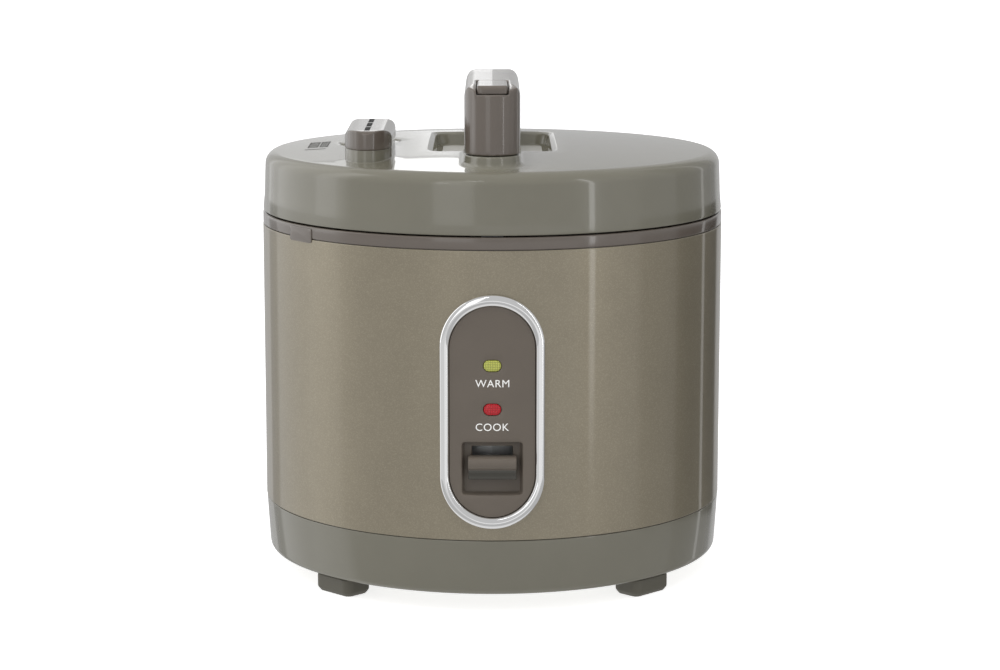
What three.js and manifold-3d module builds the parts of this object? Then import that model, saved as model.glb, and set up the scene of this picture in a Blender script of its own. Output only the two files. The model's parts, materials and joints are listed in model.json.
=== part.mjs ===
// An electric pressure-style rice cooker: a round body on four feet, a rear-hinged lid with a carrying
// handle, a thumb button that frees the front latch, a pressure-release lever and a WARM/COOK switch.
// Millimetres, +Z up. The origin is on the body's axis, on the plane that the feet stand on; the front
// is at -Y.
import * as THREE from "three";
import { mergeVertices } from "three/addons/utils/BufferGeometryUtils.js";
import Module from "manifold-3d";

const wasm = await Module();
wasm.setup();

// ---- driving dimensions ----
const SIDES = 36; // facets around every coaxial piece, so that nested rings stay parallel
const GAP = 0.3; // between pieces that touch on the real cooker

const FOOT_HEIGHT = 10.4;
const BASE_SEAM = 42; // base shell to outer shell
const COLLAR_SEAM = 204.4; // outer shell to collar
const LID_SEAM = 212; // collar to lid
const LID_SHOULDER = 239; // where the lid's side turns in
const LID_APEX = 251.5;
const LID_CROWN = 3250; // twice the radius of the lid's top

const BODY_R = 135.46;
const SHELL_WALL = 1;
const LID_R = 135.2;
const LID_WALL = 2.4;

const POT_R = 109.5;
const POT_FLANGE_R = 118.2;
const POT_WALL = 1.9;
const POT_BOTTOM = 61.3;
const POT_RIM = 207.2;
const CAN_R = 113;
const CAN_WALL = 1;

const PANEL_Z = 114.8; // centre of the control panel
const BEZEL_W = 58;
const BEZEL_H = 131;
const PANEL_W = 48;
const PANEL_H = 118.5;
const LENS_W = 9.6;
const LENS_H = 6.1;
const LENS_WARM_Z = 140.8;
const LENS_COOK_Z = 116.4;
const RECESS_W = 33.5; // pocket of the cook lever
const RECESS_Z = [68.3, 97.9];
const RECESS_FLOOR_Y = -129.2;

const HANDLE_W = 31;
const HANDLE_END = 119; // the handle reaches from -119 to 119 along Y
const HANDLE_SEAM = 254; // lid pedestal to handle
const HANDLE_TOP = 292.8;
const HANDLE_UNDER = 272;
const HANDLE_NOSE = 17; // length of each elliptical end
const HANDLE_BROW = { drop: 4.6, length: 20 }; // how its top curves down to the front
const HANDLE_SHOULDER = { width: 5.2, height: 6.5 }; // rounding of its long top edges
const POST_FRONT = [-119, -57];
const POST_REAR = [76, 119];
const FINGER_WELL = { x: 36, y: [-53, 70], floor: 241.5, corner: 9 };

const BUTTON_W = 17.2;
const BUTTON_Y = [-115.6, -76];
const BUTTON_Z = [287.9, 292.6];
const BUTTON_TRAVEL = 3;
const ROD_Y = -108;

const HINGE_Y = 137; // lid hinge axis
const HINGE_Z = 206;
const KNUCKLE_R = 5.4;

const LATCH_Y = -125; // latch pivot
const LATCH_Z = 228;

const VALVE_X = -70; // middle of the pressure lever
const VALVE_W = 27;
const VALVE_Y = [-92, -10.25];
const VALVE_SEAM = 254; // lid seat to pressure lever
const VALVE_TOP = 265.4;
const VALVE_NOSE = 25; // length of its elliptical front end
const HUB_R = 6.75; // round rear end of the pressure lever
const VALVE_PIVOT = { y: -17, z: 257.55 };
const NOZZLE_Y = -58;
const VENT = { x: -72.5, y: 7, r: 18.6 };

const LEVER_PIVOT = { y: -118.5, z: 84 }; // cook lever
const ARM_PIVOT = { y: -100, z: 25.5 };
const LINK_Y = -124.5;

const INLET_Z = 70; // centre of the power inlet
const INLET_W = 27.5;
const INLET_H = 19.5;

// ---- materials ----
const paint = (color, roughness, metalness) =>
  new THREE.MeshStandardMaterial({ color, roughness, metalness });
const olive = paint("#7d7a6c", 0.25, 0.1);
const oliveDark = paint("#5f5c50", 0.45, 0);
const champagne = paint("#8c8473", 0.35, 0.6);
const brown = paint("#6c635b", 0.22, 0.05);
const brownSatin = paint("#5d544c", 0.45, 0);
const chrome = paint("#e4e4e6", 0.08, 1);
const steel = paint("#b9babc", 0.3, 1);
const aluminium = paint("#c9cbcd", 0.4, 0.9);
const coating = paint("#2f2f31", 0.5, 0.1);
const rubber = paint("#d9d7d0", 0.7, 0);
const black = paint("#1c1c1d", 0.5, 0);
const brass = paint("#b08d57", 0.3, 1);
const amber = paint("#c8cd78", 0.2, 0);
const red = paint("#c8323c", 0.2, 0);

// ---- solids ----
function solid(geometry) {
  const g = geometry.clone();
  for (const name of ["normal", "uv"]) g.deleteAttribute(name);
  const merged = mergeVertices(g.index ? g.toNonIndexed() : g, 1e-4);
  const make = (index) =>
    new wasm.Manifold(
      new wasm.Mesh({
        numProp: 3,
        vertProperties: merged.attributes.position.array,
        triVerts: new Uint32Array(index),
      }),
    );
  const made = make(merged.index.array);
  return made.volume() < 0 ? make(Array.from(merged.index.array).reverse()) : made;
}

const join = (first, ...rest) => rest.reduce((sum, s) => sum.add(s), first);
const cut = (first, ...rest) => rest.reduce((left, s) => left.subtract(s), first);
const common = (first, ...rest) => rest.reduce((left, s) => left.intersect(s), first);

// A closed profile of [radius, height] points turned about Z.
function turned(profile, sides = SIDES) {
  const points = profile.map(([r, z]) => new THREE.Vector2(r, z));
  const closesOnAxis = profile[0][0] === 0 && profile.at(-1)[0] === 0;
  if (!closesOnAxis) points.push(points[0].clone());
  return solid(new THREE.LatheGeometry(points, sides).rotateX(Math.PI / 2));
}

const ring = (inner, outer, low, high, sides) =>
  turned(
    [
      [inner, low],
      [outer, low],
      [outer, high],
      [inner, high],
    ],
    sides,
  );

function box([x0, x1], [y0, y1], [z0, z1]) {
  const g = new THREE.BoxGeometry(x1 - x0, y1 - y0, z1 - z0);
  return solid(g.translate((x0 + x1) / 2, (y0 + y1) / 2, (z0 + z1) / 2));
}

// A round bar between two points.
function bar(radius, from, to, sides = 16) {
  const a = new THREE.Vector3(...from);
  const b = new THREE.Vector3(...to);
  const along = b.clone().sub(a);
  const g = new THREE.CylinderGeometry(radius, radius, along.length(), sides);
  const turn = new THREE.Quaternion().setFromUnitVectors(
    new THREE.Vector3(0, 1, 0),
    along.clone().normalize(),
  );
  g.applyQuaternion(turn);
  return solid(g.translate(...a.add(b).multiplyScalar(0.5).toArray()));
}

const upright = (radius, x, y, low, high, sides) => bar(radius, [x, y, low], [x, y, high], sides);
const across = (radius, y, z, x0, x1, sides) => bar(radius, [x0, y, z], [x1, y, z], sides);

// An outline drawn in a plane and extruded along the third axis. The outline's first coordinate is X
// in "xy" and "xz" and Y in "yz".
const FRAMES = {
  xy: (d) => new THREE.Matrix4().makeTranslation(0, 0, d),
  xz: (d) => new THREE.Matrix4().makeTranslation(0, d, 0).multiply(basis([1, 0, 0], [0, 0, 1])),
  yz: (d) => new THREE.Matrix4().makeTranslation(d, 0, 0).multiply(basis([0, 1, 0], [0, 0, 1])),
};
function basis(first, second) {
  const u = new THREE.Vector3(...first);
  const v = new THREE.Vector3(...second);
  return new THREE.Matrix4().makeBasis(u, v, u.clone().cross(v));
}
function prism(plane, shape, low, high, curveSegments = 6) {
  const g = new THREE.ExtrudeGeometry(shape, {
    depth: high - low,
    bevelEnabled: false,
    curveSegments,
  });
  // In "xz" the extrusion runs towards -Y, so it starts at the high end.
  return solid(g.applyMatrix4(FRAMES[plane](plane === "xz" ? high : low)));
}

// A rectangle round (x, y) with corners of radius r; a stadium when r is half its width.
function rounded(width, height, r, x = 0, y = 0) {
  const s = new THREE.Shape();
  const [w, h] = [width / 2, height / 2];
  s.moveTo(x - w + r, y - h);
  s.absarc(x + w - r, y - h + r, r, -Math.PI / 2, 0);
  s.absarc(x + w - r, y + h - r, r, 0, Math.PI / 2);
  s.absarc(x - w + r, y + h - r, r, Math.PI / 2, Math.PI);
  s.absarc(x - w + r, y - h + r, r, Math.PI, 1.5 * Math.PI);
  return s;
}

// A coil spring wound round a line: "z" stands upright, "x" lies across.
function coil({ at, radius, wire, low, high, turns, axis = "z" }) {
  const steps = turns * 9;
  const points = Array.from({ length: steps + 1 }, (_, i) => {
    const angle = (i / 9) * 2 * Math.PI;
    const along = low + wire + ((high - low - 2 * wire) * i) / steps;
    const [p, q] = [radius * Math.cos(angle), radius * Math.sin(angle)];
    return axis === "z"
      ? new THREE.Vector3(at[0] + p, at[1] + q, along)
      : new THREE.Vector3(along, at[0] + p, at[1] + q);
  });
  const section = new THREE.Shape().absarc(0, 0, wire, 0, 2 * Math.PI);
  return solid(
    new THREE.ExtrudeGeometry(section, {
      extrudePath: new THREE.CatmullRomCurve3(points),
      steps,
      curveSegments: 3,
      bevelEnabled: false,
    }),
  );
}

const cooker = new THREE.Group();
function add(name, body, material) {
  const { numProp, vertProperties, triVerts } = body.getMesh();
  const g = new THREE.BufferGeometry();
  const corners = new THREE.InterleavedBuffer(vertProperties, numProp);
  const xyz = new Float32Array(corners.count * 3);
  for (let i = 0; i < corners.count; i++)
    xyz.set(vertProperties.subarray(i * numProp, i * numProp + 3), i * 3);
  g.setAttribute("position", new THREE.BufferAttribute(xyz, 3));
  g.setIndex(new THREE.BufferAttribute(triVerts, 1));
  g.computeVertexNormals();
  const mesh = new THREE.Mesh(g, material);
  mesh.name = name;
  cooker.add(mesh);
}

const lidTop = (x, y) => LID_APEX - (x * x + y * y) / LID_CROWN;

// ---- base, feet and bottom cover ----
const COVER_R = 94;
const SCREW_RING = 91;
const FOOT_RING = 121; // radius that the feet's centres stand on
const FOOT_PAD = { length: 25, width: 15, corner: 3, spread: 2, chamfer: 2.5 };
const CORNERS = {
  front_left: [-1, -1],
  front_right: [1, -1],
  rear_left: [-1, 1],
  rear_right: [1, 1],
};
const screwSpots = [30, 150, 210, 330].map((deg) => {
  const a = THREE.MathUtils.degToRad(deg);
  return [SCREW_RING * Math.cos(a), SCREW_RING * Math.sin(a)];
});

function baseShell() {
  const shell = turned([
    [88, FOOT_HEIGHT],
    [131, FOOT_HEIGHT],
    [133, 11.3],
    [133.86, 13.4],
    [134.36, 26.4],
    [134.9, 37.5],
    [BODY_R - 0.3, BASE_SEAM - 0.2],
    [134.1, BASE_SEAM - 0.2],
    [134.1, 48],
    [132.2, 48],
    [131.4, 14.5],
    [129.8, 12.9],
    [88, 12.9],
  ]);
  const holes = screwSpots.map(([x, y]) => upright(1.8, x, y, 9, 14, 10));
  return cut(shell, ...holes);
}

function foot(sx, sy) {
  const { length, width, corner, spread, chamfer } = FOOT_PAD;
  const g = new THREE.ExtrudeGeometry(rounded(length, width, corner), {
    depth: FOOT_HEIGHT - GAP - chamfer,
    bevelSize: spread,
    bevelThickness: chamfer,
    bevelSegments: 1,
    curveSegments: 2,
  });
  const block = common(
    solid(g.translate(0, 0, chamfer)),
    box([-length, length], [-length, length], [0, FOOT_HEIGHT - GAP]),
  );
  const middle = FOOT_RING / Math.SQRT2;
  return block.rotate([0, 0, sx * sy * -45]).translate([sx * middle, sy * middle, 0]);
}

function bottomCover() {
  const disc = ring(0, COVER_R, 13.2, 14.8);
  const vents = [-44, -22, 22, 44].flatMap((x) =>
    [-34, 34].map((y) => prism("xy", rounded(7, 40, 2, x, y), 12, 16, 1)),
  );
  const holes = screwSpots.map(([x, y]) => upright(1.8, x, y, 12, 16, 10));
  return cut(disc, ...vents, ...holes);
}

add("base_shell", baseShell(), olive);
for (const [corner, [sx, sy]] of Object.entries(CORNERS)) {
  add("foot_" + corner, foot(sx, sy), oliveDark);
}
add("bottom_cover", bottomCover(), steel);
screwSpots.forEach(([x, y], i) => {
  const screw = join(upright(3.2, x, y, 8.2, 10.1, 12), upright(1.4, x, y, 10, 17, 10));
  add("cover_screw_" + (i + 1), screw, steel);
});

// ---- outer shell, collar and their fittings ----
const HOUSING_X = 34;
const HOUSING_Y = 126.6;
const HOUSING_Z = 176;
const notch = box(
  [-HOUSING_X - GAP, HOUSING_X + GAP],
  [HOUSING_Y - GAP, 160],
  [HOUSING_Z - GAP, 230],
);
const frontWindow = box([-8.5, 8.5], [-133, -124], [190, 216]);

function outerShell() {
  const tube = ring(BODY_R - SHELL_WALL, BODY_R, BASE_SEAM + 0.1, COLLAR_SEAM - 0.1);
  const panelHole = prism("xz", rounded(PANEL_W + 2, PANEL_H + 2, 25, 0, PANEL_Z), -150, -100, 8);
  const inletHole = box([-16.6, 16.6], [100, 150], [INLET_Z - 12.6, INLET_Z + 12.6]);
  return cut(tube, panelHole, inletHole, notch);
}

function collarRing() {
  const body = turned([
    [132.6, 198],
    [134.1, 198],
    [134.1, COLLAR_SEAM + 0.1],
    [BODY_R - 0.1, COLLAR_SEAM + 0.1],
    [BODY_R - 0.1, 210.8],
    [134.7, 211.5],
    [120, 211.5],
    [120, 205.7],
    [112.4, 205.7],
    [112.4, 203.5],
    [121.6, 203.5],
    [121.6, 208.7],
    [132.6, 208.7],
  ]);
  return cut(body, frontWindow, notch);
}

function collarClip() {
  const band = ring(BODY_R + 0.3, BODY_R + 1.3, 202.2, 210.3);
  const slab = box([-13.4, 13.4], [-150, -100], [200, 215]).rotate([0, 0, -52.5]);
  return common(band, slab);
}

function hingeHousing() {
  const body = join(
    box([-HOUSING_X, HOUSING_X], [HOUSING_Y, 142.4], [HOUSING_Z + 8, 199.6]),
    box([-HOUSING_X, HOUSING_X], [HOUSING_Y, 138.2], [HOUSING_Z, HOUSING_Z + 9]),
    box([-HOUSING_X, HOUSING_X], [HOUSING_Y, 130.2], [199, 211]),
    ...[-1, 1].map((side) => {
      const cheek = side < 0 ? [-HOUSING_X, -28] : [28, HOUSING_X];
      return join(
        box(cheek, [HOUSING_Y, 142.4], [199, HINGE_Z]),
        across(KNUCKLE_R, HINGE_Y, HINGE_Z, ...cheek, 24),
      );
    }),
  );
  return cut(body, across(2.45, HINGE_Y, HINGE_Z, -40, 40));
}

add("outer_shell", outerShell(), champagne);
add("collar_ring", collarRing(), brown);
add("collar_clip", collarClip(), brown);
add("hinge_housing", hingeHousing(), olive);
add("hinge_pin", across(2.2, HINGE_Y, HINGE_Z, -33.5, 33.5), steel);
add(
  "hinge_spring",
  coil({ at: [HINGE_Y, HINGE_Z], radius: 3.7, wire: 0.7, low: -11, high: 11, turns: 5, axis: "x" }),
  steel,
);

// ---- can, heating plate, pot and temperature sensor ----
function innerCan() {
  return turned([
    [13.4, 44],
    [CAN_R + CAN_WALL, 44],
    [CAN_R + CAN_WALL, 202],
    [120.8, 202],
    [120.8, 203.2],
    [CAN_R, 203.2],
    [CAN_R, 45.2],
    [13.4, 45.2],
  ]);
}

function heatingPlate() {
  return turned([
    [19, 49],
    [40, 49],
    [44, 45.5],
    [66, 45.5],
    [70, 49],
    [80, 52],
    [84, 57],
    [82, POT_BOTTOM - GAP],
    [19, POT_BOTTOM - GAP],
  ]);
}

function innerPot() {
  const bend = (r, z) =>
    [20, 45, 70].map((deg) => {
      const a = THREE.MathUtils.degToRad(deg);
      return [88 + r * Math.sin(a), z - r * Math.cos(a)];
    });
  const inside = POT_BOTTOM + POT_WALL;
  return turned([
    [0, POT_BOTTOM],
    [88, POT_BOTTOM],
    ...bend(20.6, POT_BOTTOM + 20.6),
    [108.6, 83],
    [POT_R, 206],
    [POT_FLANGE_R, 206],
    [POT_FLANGE_R, POT_RIM],
    [POT_R - POT_WALL, POT_RIM],
    [108.6 - POT_WALL, 83],
    ...bend(18.7, inside + 18.7).reverse(),
    [88, inside],
    [0, inside],
  ]);
}

function sensorCup() {
  return turned(
    [
      [0, 58],
      [10.6, 58],
      [10.6, 40],
      [12.6, 40],
      [12.6, 57.2],
      [16.5, 58],
      [16.5, 60],
      [15.5, POT_BOTTOM - GAP],
      [0, POT_BOTTOM - GAP],
    ],
    30,
  );
}

add("inner_can", innerCan(), aluminium);
add("heating_plate", heatingPlate(), aluminium);
add("inner_pot", innerPot(), coating);
add("sensor_cup", sensorCup(), steel);
add(
  "sensor_spring",
  coil({ at: [0, 0], radius: 14.6, wire: 0.8, low: 45.5, high: 56.8, turns: 4 }),
  steel,
);
const magnetPlunger = turned(
  [
    [0, 28],
    [2.6, 28],
    [2.6, 34],
    [9, 34],
    [9, 46],
    [0, 46],
  ],
  20,
);
add("magnet_plunger", magnetPlunger, steel);

// ---- control panel ----
const panelOutline = (grow) =>
  rounded(PANEL_W + grow, PANEL_H + grow, (PANEL_W + grow) / 2 - 0.01, 0, PANEL_Z);
const lensOutline = (grow, z) =>
  rounded(LENS_W + grow, LENS_H + grow, (LENS_H + grow) / 2 - 0.01, 0, z);

function panelFace() {
  const plate = common(
    ring(133.4, 136.6, 40, 190),
    prism("xz", panelOutline(-0.6), -150, -100, 8),
  );
  const [low, high] = RECESS_Z;
  const w = RECESS_W / 2;
  const well = box([-w - 1.4, w + 1.4], [-133.2, RECESS_FLOOR_Y], [low - 1.4, high + 1.4]);
  const wellBack = box(
    [-w - 1.4, w + 1.4],
    [RECESS_FLOOR_Y, RECESS_FLOOR_Y + 1.8],
    [low - 1.4, high + 1.4],
  );
  const pocket = prism(
    "xz",
    rounded(RECESS_W, high - low, 2, 0, (low + high) / 2),
    -150,
    RECESS_FLOOR_Y,
    2,
  );
  const slot = box([-12.2, 12.2], [-135, -120], [73.5, 94.6]);
  const lensHoles = [LENS_WARM_Z, LENS_COOK_Z].map((z) =>
    prism("xz", lensOutline(0.5, z), -150, -100, 3),
  );
  return cut(join(plate, well, wellBack), pocket, slot, ...lensHoles);
}

function bezelRing() {
  const band = ring(BODY_R + GAP, 138.4, 40, 190);
  const outer = prism(
    "xz",
    rounded(BEZEL_W, BEZEL_H, BEZEL_W / 2 - 0.01, 0, PANEL_Z),
    -150,
    -100,
    8,
  );
  return cut(common(band, outer), prism("xz", panelOutline(0), -150, -100, 8));
}

const lens = (z) =>
  common(ring(129.5, 137, z - 5, z + 5), prism("xz", lensOutline(0, z), -150, -100, 4));

function lampBoard() {
  const board = box([-15, 15], [-126.6, -125], [106, 150]);
  const lamps = [LENS_WARM_Z, LENS_COOK_Z].map((z) =>
    bar(2, [0, -129], [0, -126], 12).translate([0, 0, z]),
  );
  return join(board, ...lamps);
}

function cookLever() {
  const nose = new THREE.Shape();
  nose.moveTo(-132, 76.8);
  nose.lineTo(-135.4, 76.8);
  nose.quadraticCurveTo(-135.2, 81, -136.2, 82.8);
  nose.quadraticCurveTo(-139.4, 83.4, -139.4, 86.2);
  nose.quadraticCurveTo(-139.2, 89.9, -135.4, 89.9);
  nose.lineTo(-130.6, 89.9);
  nose.closePath();
  const stem = box([-11.6, 11.6], [-132.6, LEVER_PIVOT.y], [81, 87.4]);
  const knuckle = across(4.2, LEVER_PIVOT.y, LEVER_PIVOT.z, -11.6, 11.6, 20);
  const fork = box([-4.8, 4.8], [-127.6, -110], [70, 95]);
  const bore = across(1.8, LEVER_PIVOT.y, LEVER_PIVOT.z, -20, 20);
  return cut(join(prism("yz", nose, -13.3, 13.3, 4), cut(stem, fork), cut(knuckle, fork)), bore);
}

function leverBracket() {
  const cheek = (x0, x1) =>
    cut(
      join(
        box([x0, x1], [-126.8, -116.4], [80, 88]),
        box([x0, x1], [-127, -125], [78, 102]),
      ),
      across(1.75, LEVER_PIVOT.y, LEVER_PIVOT.z, -30, 30),
    );
  const bridge = box([-14.4, 14.4], [-127, -125], [98, 102]);
  return join(cheek(-14.4, -12.6), cheek(12.6, 14.4), bridge);
}

add("panel_face", panelFace(), brownSatin);
add("bezel_ring", bezelRing(), chrome);
add("lens_warm", lens(LENS_WARM_Z), amber);
add("lens_cook", lens(LENS_COOK_Z), red);
add("lamp_board", lampBoard(), oliveDark);
add("cook_lever", cookLever(), brownSatin);
add("lever_bracket", leverBracket(), steel);
add("lever_pin", across(1.5, LEVER_PIVOT.y, LEVER_PIVOT.z, -15, 15, 12), steel);

// ---- switch linkage ----
function switchLink() {
  const rod = box([-1.2, 1.2], [LINK_Y - 1.3, LINK_Y + 1.3], [27.6, 80.4]);
  const eye = box([-4.2, 4.2], [LINK_Y - 1.3, LINK_Y + 1.3], [78, 82]);
  return join(rod, eye);
}

function switchArm() {
  const blade = box([-5, 5], [-127, -3], [24.2, 26.8]);
  const hub = across(3.4, ARM_PIVOT.y, ARM_PIVOT.z, -5, 5, 16);
  return cut(join(blade, hub), across(1.9, ARM_PIVOT.y, ARM_PIVOT.z, -20, 20, 12));
}

function armBracket() {
  const body = join(
    box([-9, 9], [-106, -96], [13.2, 15]),
    box([-9, -6], [-104, -96], [13.2, 30]),
    box([6, 9], [-104, -96], [13.2, 30]),
  );
  return cut(body, across(1.75, ARM_PIVOT.y, ARM_PIVOT.z, -20, 20, 12));
}

add("switch_link", switchLink(), steel);
add("switch_arm", switchArm(), steel);
add("arm_bracket", armBracket(), steel);
add("arm_pin", across(1.5, ARM_PIVOT.y, ARM_PIVOT.z, -9.6, 9.6, 12), steel);
add(
  "micro_switch",
  join(box([12, 32], [-104, -94], [16, 28]), box([14, 30], [-100, -98], [28, 31])),
  black,
);

// ---- power inlet ----
const inletPins = [
  [-7, INLET_Z - 2],
  [0, INLET_Z + 3],
  [7, INLET_Z - 2],
];
function powerInlet() {
  const flange = common(
    ring(BODY_R + GAP, 137.8, 40, 100),
    box([-20, 20], [100, 150], [INLET_Z - 15.5, INLET_Z + 15.5]),
  );
  const body = box([-16, 16], [118, 135.9], [INLET_Z - 12, INLET_Z + 12]);
  const [w, h] = [INLET_W / 2, INLET_H / 2];
  const socket = prism("xz", rounded(INLET_W, INLET_H, 3, 0, INLET_Z), 121, 150, 2);
  const holes = inletPins.map(([x, z]) => box([x - 1.4, x + 1.4], [116, 122], [z - 2.4, z + 2.4]));
  const boss = box([-w, w], [120, 122], [INLET_Z - h, INLET_Z + h]);
  const mouth = common(socket, box([-30, 30], [122.5, 150], [40, 100]));
  return cut(join(flange, cut(body, socket), boss), mouth, ...holes);
}

add("power_inlet", powerInlet(), black);
["line", "earth", "neutral"].forEach((name, i) => {
  const [x, z] = inletPins[i];
  add("inlet_pin_" + name, box([x - 1, x + 1], [116.6, 132], [z - 2, z + 2]), brass);
});

// ---- lid ----
// A plan with straight sides from `back` and a semi-elliptical end of the given length at `tip`.
function nosed(halfWidth, back, tip, length, x = 0) {
  const s = new THREE.Shape();
  const towards = Math.sign(tip - back);
  const start = tip - towards * length;
  s.moveTo(x - halfWidth, back);
  s.lineTo(x - halfWidth, start);
  s.absellipse(x, start, halfWidth, length, Math.PI, towards < 0 ? 2 * Math.PI : 0, towards > 0);
  s.lineTo(x + halfWidth, back);
  s.closePath();
  return s;
}
const shoulderArc = (r, z, radius, from, to, count) =>
  Array.from({ length: count }, (_, i) => {
    const a = THREE.MathUtils.degToRad(from + ((to - from) * i) / (count - 1));
    return [r + radius * Math.cos(a), z + radius * Math.sin(a)];
  });

function lidOuter() {
  const shell = turned([
    [132.9, LID_SEAM + 0.3],
    [LID_R, LID_SEAM + 0.3],
    [134.4, 222],
    [134, 231],
    ...shoulderArc(125.6, LID_SHOULDER, 8.1, 0, 84, 5),
    [100, lidTop(100, 0)],
    [60, lidTop(60, 0)],
    [0, LID_APEX],
    [0, LID_APEX - LID_WALL],
    [70, lidTop(70, 0) - LID_WALL],
    [122, 244.2],
    [129.6, 241],
    [131.4, 236],
    [132.4, 218],
  ]);
  const { x, y, floor, corner } = FINGER_WELL;
  const middle = (y[0] + y[1]) / 2;
  const length = y[1] - y[0];
  const tub = common(
    prism("xy", rounded(2 * x + 4, length + 4, corner + 2, 0, middle), floor - 2, 260, 3),
    turned([
      [0, 230],
      [110, 230],
      [110, lidTop(110, 0) - 0.5],
      [60, lidTop(60, 0) - 0.5],
      [0, LID_APEX - 0.5],
    ]),
  );
  const hollow = prism("xy", rounded(2 * x, length, corner, 0, middle), floor, 300, 3);
  const [front, rear] = [POST_FRONT, POST_REAR];
  const pedestals = join(
    prism("xy", nosed(15.8, front[1], -122, 20), 244, HANDLE_SEAM - 0.1),
    prism("xy", nosed(19.2, front[1] - 5, -122, 24), 244, 249.6),
    prism("xy", nosed(15.8, rear[0], 122, 20), 244, HANDLE_SEAM - 0.1),
    prism("xy", nosed(19.2, rear[0] + 4, 122, 24), 244, 249.6),
  );
  const hub = VALVE_PIVOT;
  const seat = cut(
    prism("xy", nosed(VALVE_W / 2, hub.y - 3, VALVE_Y[0], VALVE_NOSE, VALVE_X), 246.6, VALVE_SEAM - 0.2),
    across(HUB_R + GAP, hub.y, hub.z, VALVE_X - 20, VALVE_X + 20, 32),
    upright(7.6, VALVE_X, NOZZLE_Y, 249, 260, 24),
  );
  const vent = upright(VENT.r, VENT.x, VENT.y, 248.6, 260, 32);
  return cut(
    join(shell, tub, pedestals, seat),
    hollow,
    vent,
    upright(8, VENT.x, VENT.y, 240, 260, 20),
    upright(3, VALVE_X, NOZZLE_Y, 240, 260, 12),
    upright(3.4, 0, ROD_Y, 235, 260),
  );
}

function lidFrame() {
  const disc = turned([
    [0, 213.4],
    [118.6, 213.4],
    [118.6, 212.6],
    [132.3, 212.6],
    [131.8, 216],
    [130, 216],
    [129.4, 214.8],
    [0, 215.4],
  ]);
  const hookWindow = box([-8.5, 8.5], [-133, -121], [205, 220]);
  return cut(disc, hookWindow, upright(7.2, VENT.x, VENT.y, 205, 220, 16));
}

function innerLidPlate() {
  const disc = turned([
    [0, 209],
    [30, 208],
    [98, 208],
    [105.5, 209.5],
    [106.8, 212],
    [105.8, 213.1],
    [104.6, 212],
    [103.6, 210.4],
    [98, 209.2],
    [30, 209.2],
    [0, 210.2],
  ]);
  const steamHoles = [-8, 8].map((dy) => upright(3, VENT.x, VENT.y + dy, 205, 214, 10));
  return cut(disc, ...steamHoles);
}

function sealingRing() {
  return turned([
    [107.2, 209.6],
    [108.6, 207.5],
    [117.4, 207.5],
    [118.2, 209],
    [118.2, 213.1],
    [107.2, 213.1],
  ]);
}

function lidHingeBracket() {
  const knuckle = (x0, x1) =>
    join(
      across(KNUCKLE_R, HINGE_Y, HINGE_Z, x0, x1, 24),
      box([x0, x1], [134.4, 142.4], [HINGE_Z, 216]),
    );
  const outline = new THREE.Shape();
  outline.moveTo(130, 212.4);
  outline.lineTo(142.4, 212.4);
  outline.lineTo(142.4, 221);
  outline.quadraticCurveTo(142.2, 226, 137, 228.6);
  outline.lineTo(130, 230);
  outline.closePath();
  const bridge = prism("yz", outline, -27.7, 27.7);
  const lidSpace = turned([
    [0, 190],
    [LID_R + GAP, 190],
    [LID_R + GAP, LID_SEAM + 0.3],
    [134.4 + GAP, 222],
    [133.9 + GAP, 240],
    [0, 240],
  ]);
  const plate = cut(bridge, lidSpace);
  const bore = across(2.5, HINGE_Y, HINGE_Z, -40, 40);
  return cut(join(plate, knuckle(-27.7, -12.5), knuckle(12.5, 27.7)), bore);
}

function steamVentCap() {
  const disc = ring(0, VENT.r - 0.8, 248.9, 250, 32).translate([VENT.x, VENT.y, 0]);
  const slots = [-8, 0, 8].map((dx) =>
    prism("xy", rounded(3, 16, 1.4, VENT.x + dx, VENT.y), 245, 255, 2),
  );
  return cut(disc, ...slots);
}

const steamDuct = cut(
  upright(7, VENT.x, VENT.y, 215.8, 244.5, 20),
  upright(5.6, VENT.x, VENT.y, 210, 250, 20),
);

const steamNozzle = cut(
  turned(
    [
      [0, 240],
      [2.7, 240],
      [2.7, 249.3],
      [6, 249.3],
      [6, 250.2],
      [4, 250.8],
      [3.6, 254.5],
      [0, 254.5],
    ],
    20,
  ),
  upright(1.2, 0, 0, 235, 260, 8),
).translate([VALVE_X, NOZZLE_Y, 0]);

add("lid_outer", lidOuter(), olive);
add("lid_frame", lidFrame(), brownSatin);
add("inner_lid_plate", innerLidPlate(), aluminium);
add("sealing_ring", sealingRing(), rubber);
add("lid_hinge_bracket", lidHingeBracket(), olive);
add("steam_vent_cap", steamVentCap(), olive);
add("steam_duct", steamDuct, brownSatin);
add("steam_nozzle", steamNozzle, steel);

// ---- handle, thumb button and latch ----
// The handle above its seam, with shoulders that follow its top line from the front, over the grip
// and down to the rear post.
function archRoof() {
  const line = new THREE.Path();
  line.moveTo(-HANDLE_END, HANDLE_TOP);
  line.lineTo(-30, HANDLE_TOP);
  line.quadraticCurveTo(68, HANDLE_TOP + 1, 96, 277);
  line.quadraticCurveTo(118, 264, HANDLE_END, HANDLE_SEAM);
  const { width, height } = HANDLE_SHOULDER;
  const section = ({ x: y, y: top }) =>
    [-1, 1].flatMap((side) => [
      [(side * HANDLE_W) / 2, y, 200],
      ...[0, 30, 60, 90].map((deg) => {
        const a = THREE.MathUtils.degToRad(deg);
        const x = HANDLE_W / 2 - width * (1 - Math.cos(a));
        return [side * x, y, top - height * (1 - Math.sin(a))];
      }),
    ]);
  const stations = line.getPoints(6).map(section);
  return join(...stations.slice(1).map((next, i) => wasm.Manifold.hull([...stations[i], ...next])));
}

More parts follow.
